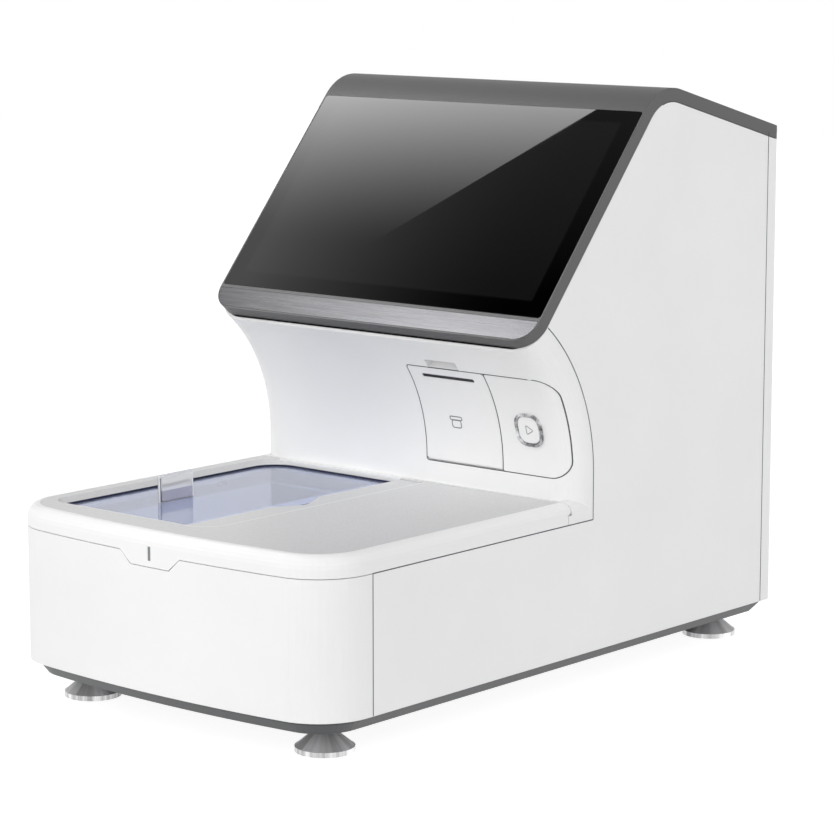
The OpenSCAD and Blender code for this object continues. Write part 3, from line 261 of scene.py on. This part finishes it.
def mirror_light(x, up, glows):
    """Light in the mirror: a card that fades down the slope as (1 - up / end)^fade, over a sheen that falls
    to the right as (1/2 - x / width)^fade and one that falls down the slope in a straight line. Below the
    glass, where the metal strip mirrors it, the light grows to the right instead."""
    card = glows * CARD_GLOW * np.clip(1 - up / CARD_END, 0, 1) ** CARD_FADE
    sheen = SHEEN_LEFT * np.clip(0.5 - x / SHEEN_W, 0, 1) ** SHEEN_FADE
    on_strip = STRIP_RISE * np.clip(0.5 + x / SHEEN_W, 0, 1)
    return np.where(up < STRIP_TOP, on_strip, card + sheen + SHEEN_TOP * np.clip(1 - up / SHEEN_END, 0, 1))


def mirror_card(name, left, right, glows):
    """Ruled sheet between two edges x(up) on the glass, scaled from the mirrored eye by CARD_FAR."""
    rows, columns = np.linspace(CARD_LOW, CARD_TOP, CARD_ROWS), np.linspace(0.0, 1.0, CARD_COLUMNS)
    up, across = np.meshgrid(rows, columns, indexing="ij")
    x = left(up) + (right(up) - left(up)) * across
    mesh = grid_mesh(name, mirror_eye + (on_slope(x, up) - mirror_eye) * CARD_FAR)
    level = mirror_light(x, up, glows)
    value = mesh.attributes.new("level", "FLOAT", "POINT")
    value.data.foreach_set("value", level.ravel().astype(np.float32))
    card, tree, _ = material(name + "_cloth")
    strength = add(tree, "Attribute", attribute_name="level").outputs["Fac"]
    show(tree, add(tree, "Emission", {"Color": WHITE, "Strength": strength}))
    made = piece(mesh, card)
    made.visible_camera = made.visible_diffuse = made.visible_shadow = made.visible_transmission = False


slant = lambda up: EDGE_X + EDGE_LEAN * up
mirror_card("bright_card", lambda up: CARD_LEFT + 0 * up, slant, 1.0)
mirror_card("dark_flag", slant, lambda up: CARD_RIGHT + 0 * up, 0.0)

# %% [markdown]
# ## White moulded housing
# The covers are injection-moulded ABS, painted white. Moulded parts are never one flat tone: the paint has a
# faint cloudiness over a hand's width and an eroded grain of about a millimetre that softens the gloss. Edges
# have a small radius that the solids leave sharp, so a bevel in the shader rounds their shading.

# %% Moulded plastics
CLOUD_MM, ROUGH_VARY, PLASTIC_IOR, BEVEL_SAMPLES = 90.0, 0.05, 1.53, 4


def moulded(name, colour, roughness, grain, depth=0.05, cloud=0.03, edge=0.35, gloss=0.5):
    """Plastic with clouded colour, a bump of grain millimetres and edges rounded by edge millimetres."""
    made, tree, where = material(name)
    cloudy = add(tree, "TexNoise", {"Vector": where, "Scale": 1 / (CLOUD_MM * MM), "Detail": 3.0})
    shade = add(tree, "MapRange", {"Value": cloudy.outputs["Fac"], "To Min": 1 - cloud, "To Max": 1 + cloud})
    tone = add(tree, "Mix", {0: 1.0, 6: linear(colour), 7: shade.outputs[0]}, data_type="RGBA",
               blend_type="MULTIPLY")
    grit = add(tree, "TexNoise", {"Vector": where, "Scale": 1 / (grain * MM), "Detail": 2.0})
    rough = add(tree, "MapRange", {"Value": grit.outputs["Fac"], "To Min": roughness - ROUGH_VARY,
                                   "To Max": roughness + ROUGH_VARY})
    rounded = add(tree, "Bevel", {"Radius": edge * MM}, samples=BEVEL_SAMPLES)
    bump = add(tree, "Bump", {"Height": grit.outputs["Fac"], "Strength": depth, "Distance": grain * MM,
                              "Normal": rounded.outputs[0]})
    show(tree, add(tree, "BsdfPrincipled", {
        "Base Color": tone.outputs[2], "Roughness": rough.outputs[0], "Normal": bump.outputs[0],
        "Specular IOR Level": gloss, "IOR": PLASTIC_IOR}))
    return made


white_abs = moulded("white_abs_painted", "#F1F1F1", 0.42, 1.2, gloss=0.35)
hood_abs = moulded("grey_abs_fine_texture", "#5B5B5C", 0.5, 1.0, depth=0.12, gloss=0.4)
chin_abs = moulded("dark_abs_fine_texture", "#3E4042", 0.4, 1.0, depth=0.1, gloss=0.5)
bay_abs = moulded("pale_grey_abs_moulded", "#E2E5EA", 0.45, 1.2)
grey_abs = moulded("mid_grey_abs_moulded", "#A9ABAE", 0.45, 1.2)
black_abs_and_painted_shade = moulded("black_nylon_and_painted_shade", "#1C1C1E", 0.5, 1.0, depth=0.1)
rubber_and_painted_shade = moulded("grey_rubber_and_painted_shade", "#4A4A4C", 0.75, 1.4, depth=0.15, gloss=0.2)
paper_white = moulded("thermal_paper_roll", "#F4F3EE", 0.7, 0.8)
board_green = moulded("solder_mask_green", "#1F5A3A", 0.35, 1.5)

# %% [markdown]
# ## Silver deck
# The deck is sprayed with a silver lacquer: a grey with tiny flakes that catch the light one by one. The
# flakes are cells of a third of a millimetre, drawn here at about one millimetre so that they show at all.


# %% Silver lacquer
def lacquer(name, colour, bright, flake, metal, roughness, edge=0.35, depth=0.04):
    """Lacquer whose Voronoi cells, flake millimetres wide, vary between two tones and tilt the gloss."""
    made, tree, where = material(name)
    cells = add(tree, "TexVoronoi", {"Vector": where, "Scale": 1 / (flake * MM)})
    pick = add(tree, "SeparateColor", {"Color": cells.outputs["Color"]})
    tone = add(tree, "Mix", {0: pick.outputs[0], 6: linear(colour), 7: linear(bright)}, data_type="RGBA")
    rounded = add(tree, "Bevel", {"Radius": edge * MM}, samples=BEVEL_SAMPLES)
    bump = add(tree, "Bump", {"Height": pick.outputs[1], "Strength": depth, "Distance": flake * MM,
                              "Normal": rounded.outputs[0]})
    show(tree, add(tree, "BsdfPrincipled", {"Base Color": tone.outputs[2], "Metallic": metal,
                                            "Roughness": roughness, "Normal": bump.outputs[0]}))
    return made


silver = lacquer("silver_lacquer_sprayed", "#CACACB", "#D4D4D5", 1.0, 0.15, 0.42)
steel = lacquer("steel_sheet_zinc_plated", "#A8ACB2", "#C2C6CC", 4.0, 0.9, 0.38)
dark_blue = lacquer("hinge_lacquer_dark_blue", "#0C1638", "#121E48", 1.0, 0.2, 0.4)

# %% [markdown]
# ## Brushed and turned metal
# A brush drawn along the strip leaves scratches that run its whole length, each about a tenth of a millimetre
# wide. They are drawn eight times as wide here. Turned metal mirrors its surroundings in streaks that run
# from the axis outwards. These streaks, and the dark and bright patches of the chrome ring, are painted
# reflections in the base colour. On the feet and their cones the noise depends only on the direction from the
# nearest foot's axis.

# %% Brushed aluminium, turned aluminium and bright trim
FOOT_R, METAL_EDGE, SCRATCH_MM, SCRATCH_BUMP, SHINE_VARY = 20.0, 0.3, 0.1, 0.08, 0.08
cone = [[v.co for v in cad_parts["cone_" + foot].data.vertices] for foot in ("front_right", "rear_right")]
cone = np.array([np.mean(points, axis=0) for points in cone])
FOOT_MID, FOOT_OFF = (0.0, cone[:, 1].mean(), 0.0), (cone[0, 0], np.ptp(cone[:, 1]) / 2, 0.0)


def from_axis(tree, where):
    """Direction (x, y) / |(x, y)| from the axis of the nearest foot, FOOT_R long: the feet stand in a
    rectangle about FOOT_MID, so the absolute offset from it brings all four to one place."""
    steps = ((FOOT_MID, "SUBTRACT"), (None, "ABSOLUTE"), (FOOT_OFF, "SUBTRACT"), ((1, 1, 0), "MULTIPLY"),
             (None, "NORMALIZE"), ([FOOT_R * MM] * 3, "MULTIPLY"))
    for by, how in steps:
        inputs = {0: where} if by is None else {0: where, 1: by}
        where = add(tree, "VectorMath", inputs, operation=how).outputs[0]
    return where


def drawn_metal(name, dark, bright, stretch, roughness, metal=1.0, soft=0.5, round_foot=False):
    """Metal with streaks: noise whose cells are stretch millimetres along each axis, between two tones. The
    middle share soft of the noise spans the whole way from one tone to the other."""
    made, tree, where = material(name)
    where = from_axis(tree, where) if round_foot else where
    size = add(tree, "Mapping", {"Vector": where, "Scale": [1 / (s * MM) for s in stretch]})
    streak = add(tree, "TexNoise", {"Vector": size.outputs[0], "Scale": 1.0, "Detail": 4.0, "Roughness": 0.65})
    spread = add(tree, "MapRange", {"Value": streak.outputs["Fac"], "From Min": 0.5 - soft / 2,
                                    "From Max": 0.5 + soft / 2})
    tone = add(tree, "Mix", {0: spread.outputs[0], 6: linear(dark), 7: linear(bright)}, data_type="RGBA")
    rough = add(tree, "MapRange", {"Value": streak.outputs["Fac"], "To Min": roughness - SHINE_VARY,
                                   "To Max": roughness + SHINE_VARY})
    rounded = add(tree, "Bevel", {"Radius": METAL_EDGE * MM}, samples=BEVEL_SAMPLES)
    bump = add(tree, "Bump", {"Height": streak.outputs["Fac"], "Strength": SCRATCH_BUMP,
                              "Distance": SCRATCH_MM * MM, "Normal": rounded.outputs[0]})
    show(tree, add(tree, "BsdfPrincipled", {"Base Color": tone.outputs[2], "Metallic": metal,
                                            "Roughness": rough.outputs[0], "Normal": bump.outputs[0]}))
    return made


brushed = drawn_metal("aluminium_brushed_along", "#4C4C4E", "#646466", (60, 0.8, 0.8), 0.26)
# Painted reflections: dark to bright streaks in the base colour of the turned feet, their cones and the chrome
# ring.
turned = drawn_metal("aluminium_turned_painted_reflection", "#66666A", "#FEFEFE", (14, 14, 14), 0.2, soft=0.35,
                     round_foot=True)
cone_painted_reflection = drawn_metal("aluminium_cone_painted_reflection", "#4C4C4E", "#F4F4F6", (22, 22, 22), 0.4, metal=0.15,
                         soft=0.4, round_foot=True)
chrome = drawn_metal("chrome_trim_painted_reflection", "#444446", "#FCFCFE", (9, 9, 9), 0.14, soft=0.25)

# %% [markdown]
# ## Black screen glass
# The touch screen is one sheet of glass, printed black at its border. Behind the clear part lies the panel,
# switched off: a very dark grey that the border's ink undercuts. A rectangle in the slope's own coordinates
# tells the two apart, so the Mapping node turns Object coordinates into the slope's frame.

# %% Screen glass
PICTURE_W, PICTURE_H, PICTURE_MID, PICTURE_SOFT = 345.4, 194.3, -112.0, 1.2
SMEAR_MM, SMEAR_ROUGH, GLASS_GLOSS = 70.0, 0.02, 0.25
glass, tree, where = material("screen_glass_black")
centre = on_slope(0.0, PICTURE_MID)
turn = add(tree, "Mapping", {"Vector": where, "Location": [*centre], "Rotation": (SLOPE, 0, 0)},
           vector_type="TEXTURE")
axes = add(tree, "SeparateXYZ", {"Vector": turn.outputs[0]})
inside = []
for socket, length in ((0, PICTURE_W), (1, PICTURE_H)):
    off = add(tree, "Math", {0: axes.outputs[socket]}, operation="ABSOLUTE")
    within = add(tree, "MapRange", {"Value": off.outputs[0], "From Min": (length / 2 + PICTURE_SOFT) * MM,
                                    "From Max": (length / 2 - PICTURE_SOFT) * MM})
    inside.append(within.outputs[0])
picture = add(tree, "Math", {0: inside[0], 1: inside[1]}, operation="MULTIPLY")
ink = add(tree, "Mix", {0: picture.outputs[0], 6: linear("#020202"), 7: linear("#131314")}, data_type="RGBA")
smear = add(tree, "TexNoise", {"Vector": where, "Scale": 1 / (SMEAR_MM * MM), "Detail": 2.0})
rough = add(tree, "MapRange", {"Value": smear.outputs["Fac"], "To Min": 0.0, "To Max": SMEAR_ROUGH})
show(tree, add(tree, "BsdfPrincipled", {"Base Color": ink.outputs[2], "Roughness": rough.outputs[0],
                                        "Specular IOR Level": GLASS_GLOSS}))

# %% [markdown]
# ## Tinted window and clear tab
# The window is a sheet of blue-grey acrylic. Light that goes through it must not be lost, or the bay below
# would turn black, so rays that test for shadow pass straight through with the sheet's tint.

# %% Acrylic
HAZE_MM, HAZE_ROUGH = 40.0, 0.02


def acrylic(name, tint, shade, roughness, index, milk):
    """Transparent plastic of a tint, part milk; shadow rays cross it as through a filter of the shade."""
    made, tree, where = material(name)
    haze = add(tree, "TexNoise", {"Vector": where, "Scale": 1 / (HAZE_MM * MM), "Detail": 2.0})
    rough = add(tree, "MapRange", {"Value": haze.outputs["Fac"], "To Min": roughness,
                                   "To Max": roughness + HAZE_ROUGH})
    body = add(tree, "BsdfPrincipled", {"Base Color": linear(tint), "Roughness": rough.outputs[0],
                                        "IOR": index, "Transmission Weight": 1.0})
    white = add(tree, "BsdfDiffuse", {"Color": linear(shade)})
    cast = add(tree, "MixShader", {0: milk, 1: body.outputs[0], 2: white.outputs[0]})
    through = add(tree, "BsdfTransparent", {"Color": linear(shade)})
    shadow = add(tree, "LightPath").outputs["Is Shadow Ray"]
    show(tree, add(tree, "MixShader", {0: shadow, 1: cast.outputs[0], 2: through.outputs[0]}))
    return made


tinted = acrylic("acrylic_tinted_blue_grey", "#C8D0EA", "#E2E7F6", 0.02, 1.36, 0.13)
clear = acrylic("acrylic_clear_cast", "#FCFCFC", "#FCFCFC", 0.03, 1.12, 0.4)
light_pipe = moulded("polycarbonate_smoked", "#7C7E82", 0.25, 1.0)

# %% [markdown]
# ## Dress the solids
# Each solid has the right shape, so it stays and only its material changes. The table goes from finish to the
# solids that wear it.

# %% Materials on the solids
FEET = ("front_left", "front_right", "rear_left", "rear_right")
dress = [
    (white_abs, "front_cover right_side_panel left_side_panel rear_panel column_cover printer_door "
                "button_panel start_button lid_rim"),
    (hood_abs, "hood"),
    (chin_abs, "base_tray"),
    (silver, "deck_panel"),
    (brushed, "brushed_strip"),
    (glass, "screen_glass"),
    (tinted, "window_sheet"),
    (clear, "window_tab"),
    (dark_blue, "window_hinge_leaf window_hinge_base"),
    (chrome, "button_ring"),
    (light_pipe, "status_light"),
    (bay_abs, "bay_tub strip_tray"),
    (grey_abs, "tray_runners reader_module wash_pump"),
    (black_abs_and_painted_shade, "printer_body display_module button_switch print_head drive_belt tray_motor fan_frame "
                "fan_rotor power_inlet power_switch data_ports lid_bumpers"),
    (rubber_and_painted_shade, "platen_roller"),
    (cone_painted_reflection, " ".join("cone_" + f for f in FEET)),
    (turned, "drive_pulley idler_pulley " + " ".join("foot_" + f for f in FEET)),
    (steel, "chassis_frame printer_door_pins lid_hinge_pins tray_rails gantry_beam pipette_carriage "
            "pipette_needle power_supply foot_locknuts rear_screws"),
    (paper_white, "paper_roll"),
    (board_green, "main_board"),
]
for finish, names in dress:
    for name in names.split():
        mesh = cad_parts[name].data
        mesh.materials.clear()
        mesh.materials.append(finish)
print("dressed:", sum(len(names.split()) for _, names in dress), "of", len(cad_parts))

# %% [markdown]
# ## Fine lines
# Printed marks, the dark edge of the window and the shadow lines of the seams are thin bands. Each follows a
# path in two coordinates of the surface that carries it, with a width across and a small height above.


# %% Bands on a surface
def arc_path(centre, radius, start, end, count=9):
    """Points c + r (cos a, sin a) for angles a from start to end, in degrees."""
    a = np.radians(np.linspace(start, end, count))
    return np.stack([centre[0] + radius * np.cos(a), centre[1] + radius * np.sin(a)], axis=-1)


def rounded_path(x0, x1, y0, y1, left, right):
    """Rectangle whose corners are quarter arcs of radius left or right, anticlockwise from its lower left."""
    turns = ((x0 + left, y0 + left, left, 180), (x1 - right, y0 + right, right, 270),
             (x1 - right, y1 - right, right, 0), (x0 + left, y1 - left, left, 90))
    return np.concatenate([arc_path((x, y), radius, start, start + 90) for x, y, radius, start in turns])


def dense(path, closed, step=6.0):
    """The same path with points at most step millimetres apart, so that a band can follow a curved surface."""
    path = np.concatenate([path, path[:1]]) if closed else np.asarray(path, float)
    run = np.concatenate([[0.0], np.cumsum(np.linalg.norm(np.diff(path, axis=0), axis=1))])
    at = np.union1d(run, np.linspace(0, run[-1], int(run[-1] / step) + 2))
    at = at[:-1] if closed else at
    return np.stack([np.interp(at, run, path[:, k]) for k in (0, 1)], axis=-1)


def band(name, path, width, low, high, carry, closed=True):
    """Rectangular band: the path pushed to both sides along its normal, at two heights of the carrier."""
    path = dense(path, closed)
    along = np.roll(path, -1, axis=0) - np.roll(path, 1, axis=0) if closed else np.gradient(path, axis=0)
    across = np.stack([along[:, 1], -along[:, 0]], axis=-1) / np.linalg.norm(along, axis=1, keepdims=True)
    outer, inner = path + across * width / 2, path - across * width / 2
    ring = [carry(edge[:, 0], edge[:, 1], height) for edge, height in
            ((inner, low), (inner, high), (outer, high), (outer, low))]
    return grid_mesh(name, np.stack(ring, axis=1), closed_u=closed, closed_v=True)


# %% [markdown]
# ## Edges of the window and its tab
# A tinted sheet looks darkest where one sees along it, so its sawn edge shows as a navy line. On the clear tab
# a pale band along the rim is a painted highlight, a dark band on the front edge is painted shade, and a
# tinted sheet at its root is painted shade that darkens its lower part. Real glass would need many bounces of
# light for such lines. Thin bands give the same lines for less.

# %% Dark edge of the window
WIN_LEFT, WIN_RIGHT, WIN_FRONT, WIN_REAR = -159.5, -2.5, -24.5, 252.5
WIN_R, FRONT_R = 27.0, 8.0
SHEET_Z, SHEET_T, EDGE_T, EDGE_UP, EDGE_PROUD = 129.0, 4.0, 0.5, 0.2, 1.7
rear_turn = arc_path((WIN_LEFT + WIN_R, WIN_REAR - WIN_R), WIN_R, 90, 180, 17)
front_turn = arc_path((WIN_LEFT + FRONT_R, WIN_FRONT + FRONT_R), FRONT_R, 180, 240)
outline = np.concatenate([[[WIN_RIGHT - 1, WIN_REAR]], rear_turn, front_turn])
navy_edge_and_painted_shade = lacquer("acrylic_edge_navy_and_painted_shade", "#060C30", "#0A123C", 2.0, 0.0, 0.5)
piece(band("window_edge", outline, EDGE_T, SHEET_Z + EDGE_UP, SHEET_Z + SHEET_T + EDGE_PROUD, place,
           closed=False), navy_edge_and_painted_shade, "window")

# %% Edges of the finger tab
TAB_X, TAB_Y, TAB_L, TAB_H, TAB_T = -105.0, 48.0, 41.0, 24.5, 3.0
TAB_LOW, TAB_TOP = SHEET_Z + SHEET_T, SHEET_Z + SHEET_T + TAB_H
ROOT_H, ROOT_UP, RIM_W, RIM_R, TAB_BAND_T = 10.0, 0.2, 0.8, 1.8, 0.15
ROOT_LIFT, RIM_LIFT, EDGE_START, EDGE_STOP = 0.02, 0.01, 0.5, 2.5
# Painted on the tab: shade by the root sheet and the front edge band, a highlight by the rim band.
root_painted_shade = acrylic("acrylic_root_painted_shade", "#DCDCE6", "#E8E8EE", 0.03, 1.05, 0.0)
rim_painted_highlight = moulded("acrylic_rim_painted_highlight", "#F4F5F8", 0.2, 1.0)
root_z = TAB_LOW + ROOT_H / 2 + ROOT_UP
root = [[TAB_Y + RIM_W, root_z], [TAB_Y + TAB_L - RIM_W, root_z]]
front = [[TAB_Y + RIM_W / 2, TAB_LOW + EDGE_START], [TAB_Y + RIM_W / 2, TAB_TOP - EDGE_STOP]]
rim = rounded_path(TAB_Y + 1.5 * RIM_W, TAB_Y + TAB_L - RIM_W / 2, TAB_LOW + RIM_W / 2, TAB_TOP - RIM_W / 2,
                   RIM_R, RIM_R)
tab_lines = (("root", root, ROOT_H, ROOT_LIFT, root_painted_shade, False),
             ("rim", rim, RIM_W, RIM_LIFT, rim_painted_highlight, True),
             ("edge", front, RIM_W, RIM_LIFT, navy_edge_and_painted_shade, False))
for side_name, sign in (("right", 1), ("left", -1)):
    face = lambda y, z, out, sign=sign: place(TAB_X + sign * (TAB_T / 2 + out), y, z)
    for name, path, width, lift, finish, closed in tab_lines:
        mesh = band(f"tab_{name}_{side_name}", path, width, lift, TAB_BAND_T, face, closed)
        piece(mesh, finish, "window")

# %% [markdown]
# ## Bright edge beside the window
# The strip beside the window lies a little lower than the deck. The step is rounded, and its round catches
# the light as a bright line, which is drawn as a band because the step is thinner than a pixel.

# %% Bright edge of the strip beside the window
CREASE_X, CREASE_R, CREASE_START, DECK_REAR, WIN_GAP = 28.0, 23.0, 30.0, 255.0, 0.6
CREST_W, CREST_DEEP, CREST_PROUD = 0.9, 0.3, 0.04
crease_y = WIN_FRONT - WIN_GAP
crease_turn = arc_path((CREASE_X - CREASE_R, crease_y + CREASE_R), CREASE_R, 270, 360)
crease = np.concatenate([[[WIN_LEFT + CREASE_START, crease_y]], crease_turn, [[CREASE_X, DECK_REAR]]])
crest = moulded("silver_lacquer_bright_edge", "#F4F4F4", 0.35, 1.0)
piece(band("strip_edge", crease, CREST_W, DECK_Z - CREST_DEEP, DECK_Z + CREST_PROUD, place, closed=False),
      crest, "lid")

# %% [markdown]
# ## Seams
# The covers meet with gaps of about half a millimetre, thinner than a pixel. They show as dark lines, because
# the light never reaches their bottom, so a thin dark band along each of them is painted shade.

# %% Painted shade along the seams
SEAM_SHADE_W, OPENING_W, SEAM_SHADE_T, SEAM_SHADE_DEEP = 1.0, 0.8, 0.06, 0.2
DOOR_LEFT, DOOR_RIGHT, PANEL_RIGHT, DOOR_Z, DOOR_TOP = 22.5, 112.0, 184.0, 157.5, 248.5
DOOR_GAP, DOOR_R, PANEL_R, BETWEEN_GAP, BETWEEN_END = 0.2, 3.0, 16.0, 0.3, 1.0
SEAM_Z, FRONT_SEAM, REAR_SEAM, REAR_TOP, COVE_SEAM, SEAM_R = 118.95, 0.0, 560.0, 449.0, 295.0, 176.0
HOOD_T, SEAM_LOW, BEND_R, ROOF_FALL, ROOF_END = 12.3, -1.0, 52.0, 14.67, 571.0
SEAM_SWEEP, SEAM_POINTS, BEND_START = 60, 121, 110
seam_shade = moulded("seam_painted_shade", "#5A5B5D", 0.8, 1.0, gloss=0.1)
turn_up = arc_path((COVE_Y, COVE_Z), SEAM_R, 0, SEAM_SWEEP, SEAM_POINTS)
depth = (turn_up[:, 0] - GLASS_Y) * -np.sin(SLOPE) + (turn_up[:, 1] - GLASS_Z) * np.cos(SLOPE)
bend_y, bend_z = GLASS_Y + BEND_R * np.sin(SLOPE), GLASS_Z - BEND_R * np.cos(SLOPE)
roof_start = arc_path((bend_y, bend_z), BEND_R - HOOD_T, BEND_START, 90 - ROOF_FALL)
roof_run = ROOF_END - roof_start[-1, 0]
roof_end = roof_start[-1:] + [[roof_run, -roof_run * np.tan(np.radians(ROOF_FALL))]]
side_seams = {
    "cove": np.concatenate([[[COVE_SEAM, SEAM_Z]], turn_up[depth < -HOOD_T]]),
    "hood": np.concatenate([roof_start, roof_end]),
    "deck": [[FRONT_SEAM, SEAM_Z], [COVE_SEAM, SEAM_Z]],
    "front": [[FRONT_SEAM, SEAM_LOW], [FRONT_SEAM, SEAM_Z]],
    "rear": [[REAR_SEAM, SEAM_LOW], [REAR_SEAM, REAR_TOP]],
}
# Each band along a seam is painted shade in the gap.
for side_name, wall in (("right", on_right), ("left", on_left)):
    for name, path in side_seams.items():
        mesh = band(f"{name}_seam_{side_name}", path, SEAM_SHADE_W, -SEAM_SHADE_DEEP, SEAM_SHADE_T, wall, closed=False)
        piece(mesh, seam_shade, "housing")
opening = rounded_path(DOOR_LEFT - DOOR_GAP, PANEL_RIGHT + DOOR_GAP, DOOR_Z - DOOR_GAP, DOOR_TOP + DOOR_GAP,
                       DOOR_R, PANEL_R)
piece(band("opening_seam", opening, OPENING_W, -SEAM_SHADE_DEEP, SEAM_SHADE_T, on_cove), seam_shade, "housing")
between_x = DOOR_RIGHT + BETWEEN_GAP
between = [[between_x, DOOR_Z + BETWEEN_END], [between_x, DOOR_TOP - BETWEEN_END]]
piece(band("door_seam", between, SEAM_SHADE_W, -SEAM_SHADE_DEEP, SEAM_SHADE_T, on_cove, closed=False), seam_shade, "housing")

# %% [markdown]
# ## Painted shade in the bay and in the paper slot
# The rear wall of the bay and the rear of the lid's opening lie in shade, so flat dark sheets there are
# painted shade, which darkens the window's rear part. In the printer door a black strip just below the surface
# is painted shade inside the paper slot. All three are flat strips: a band each.

# %% Painted shade on the rear wall of the bay and of the lid's opening above it
BAY_LEFT, BAY_RIGHT, BAY_REAR, TUB_Z, GATE_Z = -150.0, -24.0, 240.0, 115.0, 72.0
SHADE_SHEET_T, SHADE_SHEET_DEEP, SHADE_SHEET_IN, LID_SHADE_UP, LID_SHADE_FIT = 0.6, 0.2, 0.5, 3.0, 0.3
on_bay_rear = lambda x, z, out: place(x, BAY_REAR - out, z)
# Both dark sheets are painted shade on the rear walls.
for name, low, high, body in (("bay_rear_painted_shade", GATE_Z + SHADE_SHEET_IN, TUB_Z - SHADE_SHEET_IN, "housing"),
                              ("lid_rear_painted_shade", TUB_Z + LID_SHADE_UP, SHEET_Z - LID_SHADE_FIT, "lid")):
    shade_path = [[BAY_LEFT + SHADE_SHEET_IN, (low + high) / 2], [BAY_RIGHT - SHADE_SHEET_IN, (low + high) / 2]]
    mesh = band(name, shade_path, high - low, -SHADE_SHEET_DEEP, SHADE_SHEET_T, on_bay_rear, closed=False)
    piece(mesh, rubber_and_painted_shade, body)

# %% Painted shade in the paper slot
SLOT_W, SLOT_H, SLOT_AT, HEAD_X = 57.0, 4.0, np.radians(33.0), 67.25
SLOT_SHADE_DEEP, SLOT_SHADE_T, SLOT_SHADE_FIT, SLOT_SHADE_PAST = 0.5, 2.0, 0.3, 1.2
slot_z, slot_rise = COVE_Z + FACE_R * np.sin(SLOT_AT), (SLOT_H - SLOT_SHADE_FIT) * np.cos(SLOT_AT)
# The black strip below the slot's mouth is painted shade inside the slot.
slot_shade_path = [[HEAD_X - SLOT_W / 2 - SLOT_SHADE_PAST, slot_z], [HEAD_X + SLOT_W / 2 + SLOT_SHADE_PAST, slot_z]]
piece(band("paper_slot_painted_shade", slot_shade_path, slot_rise, -SLOT_SHADE_DEEP - SLOT_SHADE_T, -SLOT_SHADE_DEEP, on_cove, closed=False), black_abs_and_painted_shade,
      "printer_door")

# %% [markdown]
# ## Printed marks
# The printer door carries a small outline of a roll under a cover, and the start key a triangle, both screen
# printed in grey. Ink stands a few hundredths of a millimetre proud, so each line is a band on the surface.

# %% Marks on the printer door and on the start key
MARK_X, MARK_Z, LINE_W, INK_T = 61.5, 196.6, 1.1, 0.08
ROLL_HALF, ROLL_LOW, ROLL_TOP, ROLL_R = 5.2, -5.0, 2.0, 2.0
COVER_HALF, COVER_LOW, COVER_TOP, COVER_R = 6.8, 2.2, 5.4, 1.2
KEY_X, KEY_Z, KEY_MARK, KEY_R, KEY_LINE, KEY_TURN = 146.7, 199.5, 3.6, 0.8, 0.8, 60
mark_ink = moulded("screen_print_grey", "#8C8D90", 0.5, 1.0)
roll_mark = rounded_path(MARK_X - ROLL_HALF, MARK_X + ROLL_HALF, MARK_Z + ROLL_LOW, MARK_Z + ROLL_TOP,
                         ROLL_R, ROLL_R)
cover_mark = rounded_path(MARK_X - COVER_HALF, MARK_X + COVER_HALF, MARK_Z + COVER_LOW, MARK_Z + COVER_TOP,
                          COVER_R, COVER_R)
for name, path in (("paper_mark", roll_mark), ("cover_mark", cover_mark)):
    piece(band(name, path, LINE_W, 0.0, INK_T, on_cove), mark_ink, "printer_door")
key = np.array([v.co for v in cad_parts["start_button"].data.vertices]) / MM
proud = (FACE_R - np.hypot(key[:, 1] + Y_MID - COVE_Y, key[:, 2] - FLOOR_GAP - COVE_Z)).max()
corner = lambda a: (KEY_X + KEY_MARK * np.cos(np.radians(a)), KEY_Z + KEY_MARK * np.sin(np.radians(a)))
start_mark = np.concatenate([arc_path(corner(a), KEY_R, a - KEY_TURN, a + KEY_TURN, 5) for a in (0, 120, 240)])
piece(band("start_mark", start_mark, KEY_LINE, proud, proud + INK_T, on_cove), mark_ink, "start_button")
print("start key stands proud by", round(float(proud), 2), "mm")
